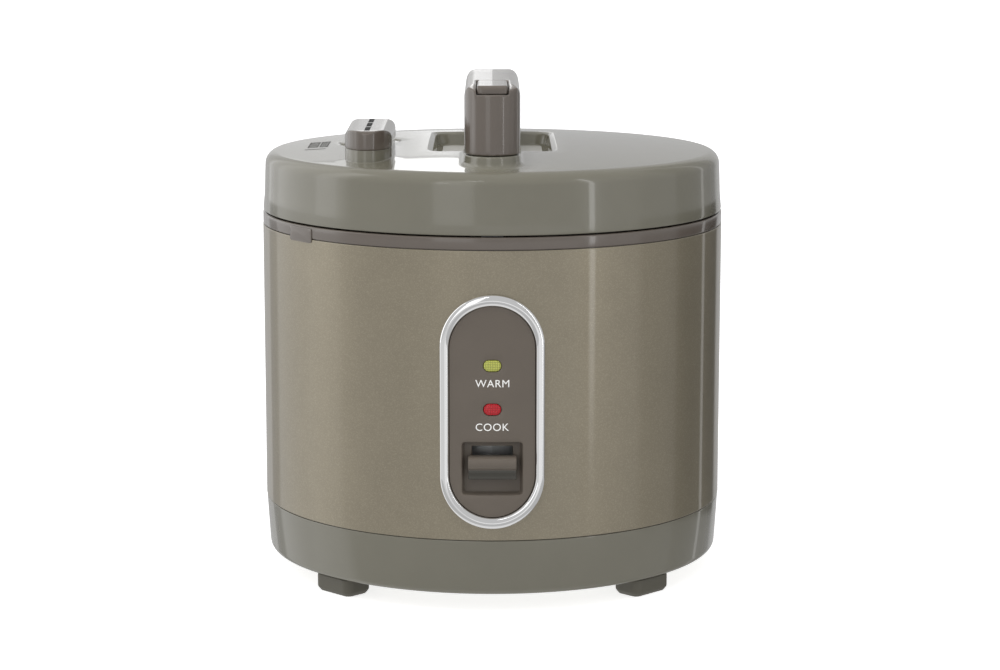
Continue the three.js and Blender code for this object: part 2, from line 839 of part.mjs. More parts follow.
function handleBar() {
  const side = new THREE.Shape();
  const [base, top, under] = [HANDLE_SEAM + 0.2, HANDLE_TOP, HANDLE_UNDER];
  const [front, brow] = [POST_FRONT[0], top - HANDLE_BROW.drop];
  side.moveTo(front, base);
  side.lineTo(front, brow - 2.4);
  side.quadraticCurveTo(front, brow, front + 2, brow + 0.7);
  side.quadraticCurveTo(front + 9, top - 1, front + HANDLE_BROW.length, top + 0.1);
  side.lineTo(front + HANDLE_BROW.length + 2, top + 3);
  side.lineTo(POST_REAR[1] + 1, top + 3);
  side.lineTo(POST_REAR[1] + 1, base);
  side.lineTo(POST_REAR[0], base);
  side.quadraticCurveTo(70, under, 46, under);
  side.lineTo(-38, under);
  side.quadraticCurveTo(-56, under, POST_FRONT[1], base);
  side.closePath();
  const plan = (tip) => prism("xy", nosed(HANDLE_W / 2, 0, tip, HANDLE_NOSE), 250, 300);
  const body = common(
    archRoof(),
    prism("yz", side, -HANDLE_W, HANDLE_W, 8),
    join(plan(-HANDLE_END), plan(HANDLE_END)),
  );
  const well = box(
    [-BUTTON_W / 2 - 0.4, BUTTON_W / 2 + 0.4],
    [BUTTON_Y[0] - 0.4, BUTTON_Y[1] + 0.4],
    [BUTTON_Z[0] - BUTTON_TRAVEL - 0.5, 300],
  );
  const lip = box([-BUTTON_W / 2 - 0.4, BUTTON_W / 2 + 0.4], [-125, BUTTON_Y[0]], [BUTTON_Z[0] - 0.2, 300]);
  return cut(
    body,
    well,
    lip,
    upright(6.2, 0, ROD_Y, 262, 286),
    upright(3.2, 0, ROD_Y, 250, 263),
    box([-11, 11], [-36, 44], [265, HANDLE_UNDER + 1]),
  );
}

const gripCover = prism(
  "xy",
  rounded(21.4, 79.2, 3, 0, 4),
  HANDLE_UNDER - 0.9,
  HANDLE_UNDER + 0.7,
  3,
);

function thumbButton() {
  const [y0, y1] = BUTTON_Y;
  const middle = (y0 + y1) / 2;
  const cap = prism(
    "xy",
    rounded(BUTTON_W, y1 - y0, 2.5, 0, middle),
    BUTTON_Z[0] - 0.2,
    BUTTON_Z[1],
    3,
  );
  return join(
    cap,
    upright(2.6, 0, ROD_Y, 231.8, BUTTON_Z[0], 14),
    upright(5.4, 0, ROD_Y, 281, 283, 16),
  );
}

function latchHook() {
  const stem = box([-6, 6], [-128.2, -125.2], [205.4, LATCH_Z]);
  const nose = box([-6, 6], [-128.2, -122.3], [205.4, 208.3]);
  const arm = box([-6, 6], [LATCH_Y, ROD_Y + 4], [LATCH_Z, 231.2]);
  const hub = across(3.6, LATCH_Y, LATCH_Z, -6, 6, 18);
  return cut(join(stem, nose, arm, hub), across(1.9, LATCH_Y, LATCH_Z, -10, 10, 12));
}

function latchBracket() {
  const cheek = (x0, x1) => box([x0, x1], [-129, -117], [216.4, 231]);
  const foot = box([-9.6, 9.6], [-119.6, -117], [216.4, 219]);
  return cut(
    join(cheek(-9.6, -7), cheek(7, 9.6), foot),
    across(1.75, LATCH_Y, LATCH_Z, -20, 20, 12),
  );
}

add("handle_bar", handleBar(), brown);
add("grip_cover", gripCover, brownSatin);
add("thumb_button", thumbButton(), brown);
add(
  "button_spring",
  coil({ at: [0, ROD_Y], radius: 4.5, wire: 0.6, low: 262.4, high: 280.6, turns: 5 }),
  steel,
);
add("latch_hook", latchHook(), steel);
add("latch_bracket", latchBracket(), steel);
add("latch_pin", across(1.5, LATCH_Y, LATCH_Z, -10, 10, 12), steel);

// ---- pressure-release lever ----
function pressureLever() {
  const { y, z } = VALVE_PIVOT;
  const [front, rear] = VALVE_Y;
  const base = VALVE_SEAM + GAP;
  const side = new THREE.Shape();
  side.moveTo(front, base);
  side.lineTo(front, VALVE_TOP - 2.5);
  side.quadraticCurveTo(front, VALVE_TOP, front + 3, VALVE_TOP);
  side.lineTo(rear - 3, VALVE_TOP);
  side.quadraticCurveTo(rear, VALVE_TOP - 0.4, rear, z);
  side.lineTo(y + 5.9, base);
  side.closePath();
  const section = new THREE.Shape();
  const [x0, x1] = [VALVE_X - VALVE_W / 2, VALVE_X + VALVE_W / 2];
  section.moveTo(x0, base - 1);
  section.lineTo(x0, VALVE_TOP - 6);
  section.quadraticCurveTo(x0, VALVE_TOP, x0 + 6, VALVE_TOP);
  section.lineTo(x1 - 6, VALVE_TOP);
  section.quadraticCurveTo(x1, VALVE_TOP, x1, VALVE_TOP - 6);
  section.lineTo(x1, base - 1);
  section.closePath();
  const body = common(
    prism("yz", side, x0, x1, 5),
    prism("xz", section, -100, 0, 4),
    prism("xy", nosed(VALVE_W / 2, rear, front, VALVE_NOSE, VALVE_X), 240, 270),
  );
  return cut(
    body,
    box([VALVE_X - 3.6, VALVE_X + 3.6], [-21.5, 0], [240, 260.2]),
    upright(7.6, VALVE_X, NOZZLE_Y, 240, 258, 24),
    across(1.7, y, z, VALVE_X - 11, VALVE_X + 11, 12),
  );
}

function valveBracket() {
  const { y, z } = VALVE_PIVOT;
  const post = join(
    box([VALVE_X - 3, VALVE_X + 3], [y - 2.4, y + 2.4], [250.6, z]),
    across(2.4, y, z, VALVE_X - 3, VALVE_X + 3, 14),
  );
  return cut(post, across(1.65, y, z, VALVE_X - 10, VALVE_X + 10, 12));
}

add("pressure_lever", pressureLever(), brown);
add("valve_plug", upright(4.6, VALVE_X, NOZZLE_Y, 254.8, 257.7, 16), black);
add("valve_bracket", valveBracket(), steel);
add(
  "valve_pin",
  across(1.35, VALVE_PIVOT.y, VALVE_PIVOT.z, VALVE_X - 10.6, VALVE_X + 10.6, 12),
  steel,
);

export default cooker;
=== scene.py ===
"""A pressure-style rice cooker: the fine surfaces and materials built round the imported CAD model."""

import json
import math
import random

import bmesh
import bpy
from mathutils import Matrix, Vector
from mathutils.geometry import delaunay_2d_cdt


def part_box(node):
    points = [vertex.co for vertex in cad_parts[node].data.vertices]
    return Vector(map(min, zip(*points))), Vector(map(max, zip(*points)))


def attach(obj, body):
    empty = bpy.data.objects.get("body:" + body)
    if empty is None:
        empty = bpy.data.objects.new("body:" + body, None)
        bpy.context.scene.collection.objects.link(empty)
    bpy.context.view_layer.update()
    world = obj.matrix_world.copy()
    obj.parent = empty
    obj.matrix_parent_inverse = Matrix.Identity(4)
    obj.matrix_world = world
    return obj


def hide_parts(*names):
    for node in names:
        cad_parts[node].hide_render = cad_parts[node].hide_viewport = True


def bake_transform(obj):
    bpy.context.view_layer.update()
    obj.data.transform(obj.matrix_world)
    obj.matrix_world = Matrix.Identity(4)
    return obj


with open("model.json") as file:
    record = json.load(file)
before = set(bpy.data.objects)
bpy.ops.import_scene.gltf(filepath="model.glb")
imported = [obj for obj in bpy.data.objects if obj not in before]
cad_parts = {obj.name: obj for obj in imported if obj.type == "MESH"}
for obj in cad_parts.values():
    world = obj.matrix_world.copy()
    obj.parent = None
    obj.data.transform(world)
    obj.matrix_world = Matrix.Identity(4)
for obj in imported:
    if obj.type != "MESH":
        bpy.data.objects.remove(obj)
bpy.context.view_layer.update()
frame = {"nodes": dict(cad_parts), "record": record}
random.seed(7)

MM = 0.001
TURN = 2 * math.pi


# ---------------------------------------------------------------- sizes from the frame, in mm
def mm_box(node):
    """Lowest and highest corner of a CAD node, in millimetres."""
    low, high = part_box(node)
    return Vector(low) / MM, Vector(high) / MM


BASE = mm_box("base_shell")
SHELL = mm_box("outer_shell")
COLLAR = mm_box("collar_ring")
LID = mm_box("lid_outer")
HANDLE = mm_box("handle_bar")
BUTTON = mm_box("thumb_button")
LEVER = mm_box("pressure_lever")
PANEL = mm_box("panel_face")
BEZEL = mm_box("bezel_ring")
SWITCH = mm_box("cook_lever")
VENT = mm_box("steam_vent_cap")

SHELL_R = SHELL[1].x
LID_R = LID[1].x
LID_BOTTOM = LID[0].z
LID_APEX = LID_BOTTOM + 39.2
LID_CROWN = 3250  # twice the radius of the lid's top
SHOULDER_Z = LID_BOTTOM + 26.7
HANDLE_NOSE = 17
LEVER_NOSE = 25
SHOULDER_FILLET = 7.65
SHOULDER_R = LID_R - 1.5
TOP_R = SHOULDER_R - SHOULDER_FILLET + 0.59
PANEL_Z = (PANEL[0].z + PANEL[1].z) / 2
PANEL_R = SHELL_R + 1.1
SLOT_Z = (76, 94.6)  # what shows of the cook lever's slot


def lid_top(x, y):
    return LID_APEX - (x * x + y * y) / LID_CROWN


# ---------------------------------------------------------------- materials
def material(name):
    mat = bpy.data.materials.new(name)
    mat.use_nodes = True
    return mat, mat.node_tree.nodes, mat.node_tree.links


def srgb(r, g, b):
    def linear(c):
        c /= 255
        return c / 12.92 if c <= 0.04045 else ((c + 0.055) / 1.055) ** 2.4

    return (linear(r), linear(g), linear(b), 1.0)


def shaded(color, factor):
    return (color[0] * factor, color[1] * factor, color[2] * factor, 1.0)


def surface(
    name,
    color,
    rough=0.3,
    rough_spread=0.05,
    metallic=0.0,
    coat=0.0,
    coat_rough=0.03,
    ior=1.5,
    grain=900.0,
    tone=0.06,
    tone_scale=60.0,
    bump=0.02,
    bump_distance=0.00005,
    stretch=(1, 1, 1),
    sheen=0.0,
):
    """A principled surface with mottled colour, uneven roughness and a fine bump, all in object space."""
    mat, nodes, links = material(name)
    shader = nodes["Principled BSDF"]
    place = nodes.new("ShaderNodeTexCoord")
    scaled = nodes.new("ShaderNodeMapping")
    scaled.inputs["Scale"].default_value = stretch
    links.new(place.outputs["Object"], scaled.inputs["Vector"])

    mottle = nodes.new("ShaderNodeTexNoise")
    mottle.inputs["Scale"].default_value = tone_scale
    mottle.inputs["Detail"].default_value = 4
    links.new(scaled.outputs["Vector"], mottle.inputs["Vector"])
    ramp = nodes.new("ShaderNodeValToRGB")
    ramp.color_ramp.elements[0].position = 0.3
    ramp.color_ramp.elements[0].color = shaded(color, 1 - tone)
    ramp.color_ramp.elements[1].position = 0.7
    ramp.color_ramp.elements[1].color = shaded(color, 1 + tone)
    links.new(mottle.outputs["Fac"], ramp.inputs["Fac"])
    links.new(ramp.outputs["Color"], shader.inputs["Base Color"])

    fine = nodes.new("ShaderNodeTexNoise")
    fine.inputs["Scale"].default_value = grain
    fine.inputs["Detail"].default_value = 2
    links.new(scaled.outputs["Vector"], fine.inputs["Vector"])
    spread = nodes.new("ShaderNodeMapRange")
    spread.inputs["To Min"].default_value = max(0.01, rough - rough_spread)
    spread.inputs["To Max"].default_value = rough + rough_spread
    links.new(fine.outputs["Fac"], spread.inputs["Value"])
    links.new(spread.outputs["Result"], shader.inputs["Roughness"])
    relief = nodes.new("ShaderNodeBump")
    relief.inputs["Strength"].default_value = bump
    relief.inputs["Distance"].default_value = bump_distance
    links.new(fine.outputs["Fac"], relief.inputs["Height"])
    links.new(relief.outputs["Normal"], shader.inputs["Normal"])

    shader.inputs["Metallic"].default_value = metallic
    shader.inputs["IOR"].default_value = ior
    shader.inputs["Coat Weight"].default_value = coat
    shader.inputs["Coat Roughness"].default_value = coat_rough
    shader.inputs["Sheen Weight"].default_value = sheen
    return mat


def flake_paint(name, color, flake, rough, coat):
    """Metallic paint: fine bright flakes over a tinted base, under a clear coat."""
    mat = surface(
        name,
        color,
        rough=rough,
        metallic=0.55,
        coat=coat,
        coat_rough=0.05,
        grain=2600,
        tone=0.03,
        bump=0.05,
        bump_distance=0.00003,
    )
    nodes, links = mat.node_tree.nodes, mat.node_tree.links
    shader = nodes["Principled BSDF"]
    base = shader.inputs["Base Color"].links[0].from_socket
    cells = nodes.new("ShaderNodeTexVoronoi")
    cells.inputs["Scale"].default_value = 2200
    place = nodes["Texture Coordinate"]
    links.new(place.outputs["Object"], cells.inputs["Vector"])
    keep = nodes.new("ShaderNodeMapRange")
    keep.inputs["From Min"].default_value = 0.55
    keep.inputs["From Max"].default_value = 1.0
    keep.inputs["To Max"].default_value = 0.35
    split = nodes.new("ShaderNodeSeparateColor")
    links.new(cells.outputs["Color"], split.inputs["Color"])
    links.new(split.outputs["Red"], keep.inputs["Value"])
    mix = nodes.new("ShaderNodeMix")
    mix.data_type = "RGBA"
    mix.inputs["B"].default_value = flake
    links.new(keep.outputs["Result"], mix.inputs["Factor"])
    links.new(base, mix.inputs["A"])
    links.new(mix.outputs["Result"], shader.inputs["Base Color"])
    return mat


def waffle_lens(name, color, glow):
    """A moulded lamp lens: a crossed grid of small pyramids in tinted, faintly lit plastic."""
    mat, nodes, links = material(name)
    shader = nodes["Principled BSDF"]
    place = nodes.new("ShaderNodeTexCoord")
    waves = []
    for direction in ("X", "Z"):
        wave = nodes.new("ShaderNodeTexWave")
        wave.bands_direction = direction
        wave.inputs["Scale"].default_value = 330
        links.new(place.outputs["Object"], wave.inputs["Vector"])
        waves.append(wave)
    grid = nodes.new("ShaderNodeMath")
    grid.operation = "MULTIPLY"
    links.new(waves[0].outputs["Fac"], grid.inputs[0])
    links.new(waves[1].outputs["Fac"], grid.inputs[1])
    ramp = nodes.new("ShaderNodeValToRGB")
    ramp.color_ramp.elements[0].color = shaded(color, 0.5)
    ramp.color_ramp.elements[1].position = 0.5
    ramp.color_ramp.elements[1].color = shaded(color, 1.15)
    links.new(grid.outputs["Value"], ramp.inputs["Fac"])
    links.new(ramp.outputs["Color"], shader.inputs["Base Color"])
    links.new(ramp.outputs["Color"], shader.inputs["Emission Color"])
    shader.inputs["Emission Strength"].default_value = glow
    relief = nodes.new("ShaderNodeBump")
    relief.inputs["Strength"].default_value = 0.6
    relief.inputs["Distance"].default_value = 0.0004
    links.new(grid.outputs["Value"], relief.inputs["Height"])
    links.new(relief.outputs["Normal"], shader.inputs["Normal"])
    shader.inputs["Roughness"].default_value = 0.15
    return mat


OLIVE = srgb(128, 125, 111)
BROWN = srgb(109, 100, 92)
olive_gloss = surface("olive_gloss", OLIVE, rough=0.22, coat=0.8, coat_rough=0.03, tone=0.02, bump=0.01)
# Light grey satin for the finger well's floor: a painted reflection that makes the floor look brightly lit.
well_painted_reflection = surface("well_painted_reflection", srgb(196, 194, 187), rough=0.5, grain=1500, bump=0.2, tone=0.02)
olive_matte = surface("olive_matte", srgb(98, 95, 84), rough=0.5, grain=1500, bump=0.25, tone=0.05)
champagne = flake_paint("champagne_paint", srgb(152, 143, 123), srgb(187, 176, 153), 0.33, 0.8)
brown_gloss = surface("brown_gloss", BROWN, rough=0.2, coat=0.8, coat_rough=0.03, tone=0.025, bump=0.01)
brown_satin = surface("brown_satin", srgb(116, 107, 97), rough=0.42, grain=1800, bump=0.12, tone=0.03)
chrome = surface("chrome_trim", (0.95, 0.95, 0.95, 1), rough=0.05, rough_spread=0.02, metallic=1, tone=0.01)
steel = surface(
    "steel", (0.56, 0.56, 0.57, 1), rough=0.32, metallic=1, grain=400, stretch=(1, 1, 12), bump=0.1, tone=0.08
)
aluminium = surface(
    "aluminium_plate", (0.68, 0.69, 0.69, 1), rough=0.38, metallic=1, grain=700, bump=0.15, tone=0.05
)
pot_coating = surface(
    "pot_coating", srgb(52, 52, 54), rough=0.45, coat=0.25, coat_rough=0.3, grain=2400, bump=0.3, tone=0.25
)
silicone = surface("silicone", srgb(214, 211, 203), rough=0.6, grain=1300, bump=0.2, tone=0.03, sheen=0.1)
black_plastic = surface("black_plastic", srgb(34, 34, 35), rough=0.42, grain=1500, bump=0.2, tone=0.15)
brass = surface("brass_pin", (0.60, 0.42, 0.20, 1), rough=0.25, metallic=1, grain=900, tone=0.08)
board = surface("board", srgb(60, 92, 52), rough=0.4, grain=700, tone=0.18, tone_scale=260, bump=0.2)
white_ink_painted_glow = surface("white_ink_painted_glow", srgb(246, 246, 243), rough=0.5, grain=1800, tone=0.02, bump=0.1)
# The white ink glows faintly (emission 0.25): a painted glow that makes the print brighter than the lamps light
# it.
white_ink_painted_glow.node_tree.nodes["Principled BSDF"].inputs["Emission Color"].default_value = (1, 1, 1, 1)
white_ink_painted_glow.node_tree.nodes["Principled BSDF"].inputs["Emission Strength"].default_value = 0.25
# The cook lever's skirt: a darker copy of the brown, painted shade under the lever's overhanging nose.
skirt_painted_shade = surface("skirt_painted_shade", srgb(68, 65, 57), rough=0.25, coat=0.5, tone=0.04, bump=0.02)
grey_ink = surface("grey_ink", srgb(84, 84, 80), rough=0.6, grain=1800, tone=0.05, bump=0.1)
black_ink = surface("black_ink", srgb(12, 12, 12), rough=0.7, grain=1800, tone=0.1, bump=0.1)
amber_lens = waffle_lens("lens_amber", srgb(204, 208, 104), 0.15)
red_lens = waffle_lens("lens_red", srgb(204, 40, 50), 0.16)


# ---------------------------------------------------------------- mesh tools
def finish_mesh(obj, mat, sharp=40):
    """Faces out, smooth except over sharp edges, one material."""
    bm = bmesh.new()
    bm.from_mesh(obj.data)
    bmesh.ops.remove_doubles(bm, verts=bm.verts, dist=1e-7)
    bmesh.ops.recalc_face_normals(bm, faces=bm.faces)
    bm.to_mesh(obj.data)
    bm.free()
    for face in obj.data.polygons:
        face.use_smooth = True
    obj.data.set_sharp_from_angle(angle=math.radians(sharp))
    obj.data.materials.clear()
    obj.data.materials.append(mat)
    return obj


def new_object(name, verts, faces, mat, sharp=40):
    """A mesh object from vertices in millimetres."""
    mesh = bpy.data.meshes.new(name)
    mesh.from_pydata([Vector(v) * MM for v in verts], [], faces)
    obj = bpy.data.objects.new(name, mesh)
    bpy.context.scene.collection.objects.link(obj)
    return finish_mesh(obj, mat, sharp)


def bezier(a, b, c, steps):
    """Points on a quadratic curve, both ends included."""
    out = []
    for i in range(steps + 1):
        t = i / steps
        out.append(tuple((1 - t) ** 2 * p + 2 * t * (1 - t) * q + t * t * r for p, q, r in zip(a, b, c)))
    return out


def filleted(corners, closed=True, steps=5):
    """An outline whose corners (x, y, radius) are rounded."""
    out = []
    count = len(corners)
    for i, (x, y, radius) in enumerate(corners):
        here = Vector((x, y))
        if radius <= 0 or (not closed and i in (0, count - 1)):
            out.append((x, y))
            continue
        before = Vector(corners[i - 1][:2]) - here
        after = Vector(corners[(i + 1) % count][:2]) - here
        half = before.angle(after) / 2
        reach = min(radius / math.tan(half), before.length * 0.49, after.length * 0.49)
        start = here + before.normalized() * reach
        end = here + after.normalized() * reach
        out.extend(bezier(start, here, end, steps))
    return out


def lathe(name, outline, mat, sides=192, closed=True, sharp=40):
    """An outline of (radius, height) points turned about Z. A radius of 0 is a pole."""
    verts, rings = [], []
    for r, z in outline:
        if r < 1e-6:
            rings.append([len(verts)] * sides)
            verts.append((0, 0, z))
        else:
            rings.append(range(len(verts), len(verts) + sides))
            around = [TURN * i / sides for i in range(sides)]
            verts += [(r * math.sin(a), -r * math.cos(a), z) for a in around]
    faces = []
    pairs = list(zip(rings, rings[1:])) + ([(rings[-1], rings[0])] if closed else [])
    for low, high in pairs:
        for i in range(sides):
            j = (i + 1) % sides
            corners = [low[i], low[j], high[j], high[i]]
            unique = list(dict.fromkeys(corners))
            if len(unique) > 2:
                faces.append(unique)
    return new_object(name, verts, faces, mat, sharp)


def prism(name, outline, low, high, plane, mat, sharp=40):
    """A closed outline drawn in a plane and pulled along the third axis from low to high."""
    place = {
        "xy": lambda a, b, c: (a, b, c),
        "xz": lambda a, b, c: (a, c, b),
        "yz": lambda a, b, c: (c, a, b),
    }[plane]
    count = len(outline)
    verts = [place(a, b, low) for a, b in outline] + [place(a, b, high) for a, b in outline]
    faces = [list(range(count))[::-1], list(range(count, 2 * count))]
    faces += [[i, (i + 1) % count, count + (i + 1) % count, count + i] for i in range(count)]
    return new_object(name, verts, faces, mat, sharp)


def block(name, low, high, mat):
    """An upright box between two corners."""
    outline = [(low[0], low[1]), (high[0], low[1]), (high[0], high[1]), (low[0], high[1])]
    return prism(name, outline, low[2], high[2], "xy", mat)


def apply_modifiers(obj):
    graph = bpy.context.evaluated_depsgraph_get()
    mesh = bpy.data.meshes.new_from_object(obj.evaluated_get(graph))
    obj.modifiers.clear()
    obj.data = mesh


def discard(obj):
    bpy.data.objects.remove(obj, do_unlink=True)


def boolean(obj, operation, *others):
    """Joins, cuts or intersects obj with the others, which are used up."""
    for other in others:
        tool = obj.modifiers.new("tool", "BOOLEAN")
        tool.operation = operation
        tool.solver = "EXACT"
        tool.object = other
    apply_modifiers(obj)
    for other in others:
        discard(other)
    return obj


def melted(obj, mat, voxel, rounds=6, sharp=60):
    """Rounds every edge a little: an even remesh, then smoothing."""
    remesh = obj.modifiers.new("remesh", "REMESH")
    remesh.mode = "VOXEL"
    remesh.voxel_size = voxel * MM
    remesh.adaptivity = 0
    smooth = obj.modifiers.new("smooth", "SMOOTH")
    smooth.factor = 0.5
    smooth.iterations = rounds
    apply_modifiers(obj)
    return finish_mesh(obj, mat, sharp)


def refined(node, mat, voxel, rounds=4, name=None):
    """A copy of a CAD node with its edges rounded, standing for that node."""
    obj = bpy.data.objects.new(name or node + "_fine", frame["nodes"][node].data.copy())
    bpy.context.scene.collection.objects.link(obj)
    melted(obj, mat, voxel, rounds)
    return settle(obj, node)


def settle(obj, *nodes, slot=None):
    """obj rides on the body of the CAD nodes that it stands for."""
    record = frame["record"]
    bodies = record["behaviour"]["bodies"]
    body = next(b for b, held in bodies.items() if nodes[0] in held)
    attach(obj, body)
    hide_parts(*nodes)
    return obj


def trim(obj, body):
    """A small extra piece, such as a printed mark."""
    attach(obj, body)
    return obj


def rounded_rect(width, height, radius, x=0.0, y=0.0, steps=6):
    w, h = width / 2, height / 2
    corners = [(x - w, y - h), (x + w, y - h), (x + w, y + h), (x - w, y + h)]
    return filleted([(a, b, radius) for a, b in corners], steps=steps)


def stadium(width, height, x=0.0, y=0.0, steps=24):
    """An upright or lying outline with half-round ends, as points at even angles."""
    r = min(width, height) / 2
    dx, dy = width / 2 - r, height / 2 - r
    out = []
    for quarter, (sx, sy) in enumerate(((1, 1), (-1, 1), (-1, -1), (1, -1))):
        for i in range(steps + 1):
            a = TURN / 4 * (quarter + i / steps)
            out.append((x + sx * dx + r * math.cos(a), y + sy * dy + r * math.sin(a)))
    return [p for i, p in enumerate(out) if (Vector(p) - Vector(out[i - 1])).length > 1e-4]


def resampled(outline, spacing):
    """The closed outline with points no further apart than spacing."""
    out = []
    for i, p in enumerate(outline):
        q = outline[(i + 1) % len(outline)]
        parts = max(1, math.ceil(math.dist(p, q) / spacing))
        out += [(p[0] + (q[0] - p[0]) * k / parts, p[1] + (q[1] - p[1]) * k / parts) for k in range(parts)]
    return out


def inside(point, outline):
    x, y = point
    found = False
    for i, (x1, y1) in enumerate(outline):
        x0, y0 = outline[i - 1]
        if (y0 > y) != (y1 > y) and x < (x1 - x0) * (y - y0) / (y1 - y0) + x0:
            found = not found
    return found


def terrain(edge, features, spacing, height, holes=()):
    """A triangulated relief inside edge.

    Each feature is a list of nested rings (outline, height function), outermost first. The open
    ground between the features is filled with a grid of points at height(x, y).
    Returns 3-D points (x, y, height), triangles, and the indices of the edge's points.
    """
    points, heights, edges = [], [], []

    def add_ring(outline, rise):
        first = len(points)
        points.extend(Vector(p) for p in outline)
        heights.extend(rise(*p) for p in outline)
        count = len(outline)
        edges.extend((first + i, first + (i + 1) % count) for i in range(count))

    add_ring(edge, height)
    outers = [rings[0][0] for rings in features]
    for rings in features:
        for outline, rise in rings:
            add_ring(outline, rise)
    taken = [Vector(p) for outline in [edge, *outers] for p in resampled(outline, spacing / 2)]
    xs = [p[0] for p in edge]
    ys = [p[1] for p in edge]
    columns = int((max(xs) - min(xs)) / spacing)
    rows = int((max(ys) - min(ys)) / spacing)
    for i in range(1, columns):
        for j in range(1, rows):
            p = (min(xs) + i * spacing + (j % 2) * spacing / 2, min(ys) + j * spacing)
            if not inside(p, edge) or any(inside(p, outer) for outer in outers):
                continue
            here = Vector(p)
            if min((here - t).length_squared for t in taken) < (0.55 * spacing) ** 2:
                continue
            points.append(here)
            heights.append(height(*p))
    verts, _, faces, origins, _, _ = delaunay_2d_cdt(points, edges, [], 1, 1e-6)
    solid = [(v.x, v.y, heights[o[0]] if o else height(v.x, v.y)) for v, o in zip(verts, origins)]
    kept = []
    for face in faces:
        middle = sum((verts[i] for i in face), Vector((0, 0))) / len(face)
        if not any(inside(middle, hole) for hole in holes):
            kept.append(list(face))
    new_index = {old: i for i, found in enumerate(origins) for old in found}
    return solid, kept, [new_index[i] for i in range(len(edge))]


# ---------------------------------------------------------------- body
def hinge_notch(name, low_z):
    """The space that the hinge housing takes out of the collar and the outer shell."""
    low, high = mm_box("hinge_housing")
    return block(name, (low.x - 0.3, low.y - 0.3, low_z), (high.x + 0.3, high.y + 20, high.z + 30), brown_gloss)


def make_base():
    low, high = BASE
    seam = SHELL[0].z - 0.3
    outline = filleted(
        [
            (88, low.z, 0.5),
            (133.3, low.z, 3.4),
            (134.36, 26.4, 0),
            (high.x + 0.1, seam, 0.5),
            (134.1, seam, 0),
            (134.1, high.z, 0),
            (132.2, high.z, 0),
            (131.4, 14.5, 0),
            (129.8, 12.9, 0),
            (88, 12.9, 0.5),
        ]
    )
    base = lathe("base_shell_fine", outline, olive_gloss)
    settle(base, "base_shell")
    for corner in ("front_left", "front_right", "rear_left", "rear_right"):
        refined("foot_" + corner, olive_matte, 0.5, 5)


def make_outer_shell():
    low, high = SHELL
    inner = SHELL_R - 1
    outline = filleted(
        [
            (SHELL_R, low.z + 0.1, 0.5),
            (SHELL_R, high.z - 0.1, 0.5),
            (inner, high.z - 0.1, 0),
            (inner, low.z + 0.1, 0),
        ],
        steps=4,
    )
    shell = lathe("outer_shell_fine", outline, champagne, sides=256)
    hole = prism("hole", stadium(PANEL[1].x * 2 + 2, 120, 0, PANEL_Z), -150, -100, "xz", champagne)
    inlet = block("inlet_hole", (-16.6, 100, 57.4), (16.6, 150, 82.6), champagne)
    boolean(shell, "DIFFERENCE", hole, inlet, hinge_notch("notch", 175.7))
    finish_mesh(shell, champagne, 30)
    true_cylinder(shell)
    settle(shell, "outer_shell")


def true_cylinder(obj):
    """Gives the faces of a straight round wall the exact normals of the cylinder."""
    mesh = obj.data
    normals = [None] * len(mesh.loops)
    for face in mesh.polygons:
        flat = Vector((face.normal.x, face.normal.y, 0))
        for loop in face.loop_indices:
            point = mesh.vertices[mesh.loops[loop].vertex_index].co
            radial = Vector((point.x, point.y, 0)).normalized()
            steep = abs(face.normal.z) < 0.02 and abs(flat.normalized().dot(radial)) > 0.995
            if steep:
                normals[loop] = radial * math.copysign(1, flat.dot(radial))
            else:
                normals[loop] = mesh.corner_normals[loop].vector.copy()
    mesh.normals_split_custom_set(normals)


def make_collar():
    low, high = COLLAR
    top = high.z
    outline = filleted(
        [
            (132.6, low.z, 0),
            (134.1, low.z, 0),
            (134.1, SHELL[1].z + 0.3, 0),
            (high.x, SHELL[1].z + 0.3, 0.5),
            (high.x, top - 0.5, 0.8),
            (134.4, top, 0.6),
            (120, top, 0.8),
            (120, 205.7, 0.6),
            (112.4, 205.7, 0.8),
            (112.4, 203.5, 0),
            (121.6, 203.5, 0),
            (121.6, 208.7, 0),
            (132.6, 208.7, 0),
        ]
    )
    collar = lathe("collar_ring_fine", outline, brown_gloss)
    window = block("window", (-8.5, -133, 190), (8.5, -124, 216), brown_gloss)
    boolean(collar, "DIFFERENCE", window, hinge_notch("notch", 175.7))
    finish_mesh(collar, brown_gloss, 30)
    settle(collar, "collar_ring")


def bent_slab(name, outline, thickness, azimuth, z, radius, mat, rise=0.4):
    """A small rounded slab lying on a cylinder: outline is in arc length and height."""
    verts, faces = [], []
    grown = [(1.0, 0.0), (1.0, thickness - rise), (0.94, thickness - 0.1), (0.86, thickness)]
    count = len(outline)
    for scale, lift in grown:
        for u, v in outline:
            a = azimuth + u * scale / radius
            r = radius + lift
            verts.append((r * math.sin(a), -r * math.cos(a), z + v * scale))
    for k in range(len(grown) - 1):
        for i in range(count):
            j = (i + 1) % count
            faces.append([k * count + i, k * count + j, (k + 1) * count + j, (k + 1) * count + i])
    faces.append(list(range(count))[::-1])
    faces.append(list(range((len(grown) - 1) * count, len(grown) * count)))
    return new_object(name, verts, faces, mat)


def make_clip():
    clip = mm_box("collar_clip")
    height = clip[1].z - clip[0].z
    middle = (clip[0].z + clip[1].z) / 2
    outline = resampled(rounded_rect(22, height, 1.6), 2)
    slab = bent_slab(
        "collar_clip_fine", outline, 0.5, math.radians(-53), middle, SHELL_R + 0.05, brown_gloss, 0.25
    )
    settle(slab, "collar_clip")


# ---------------------------------------------------------------- control panel
def on_panel(u, v, lift):
    """A point at arc length u and height v on the panel's cylinder, lifted by lift."""
    a = u / PANEL_R
    r = PANEL_R + lift
    return (r * math.sin(a), -r * math.cos(a), v)


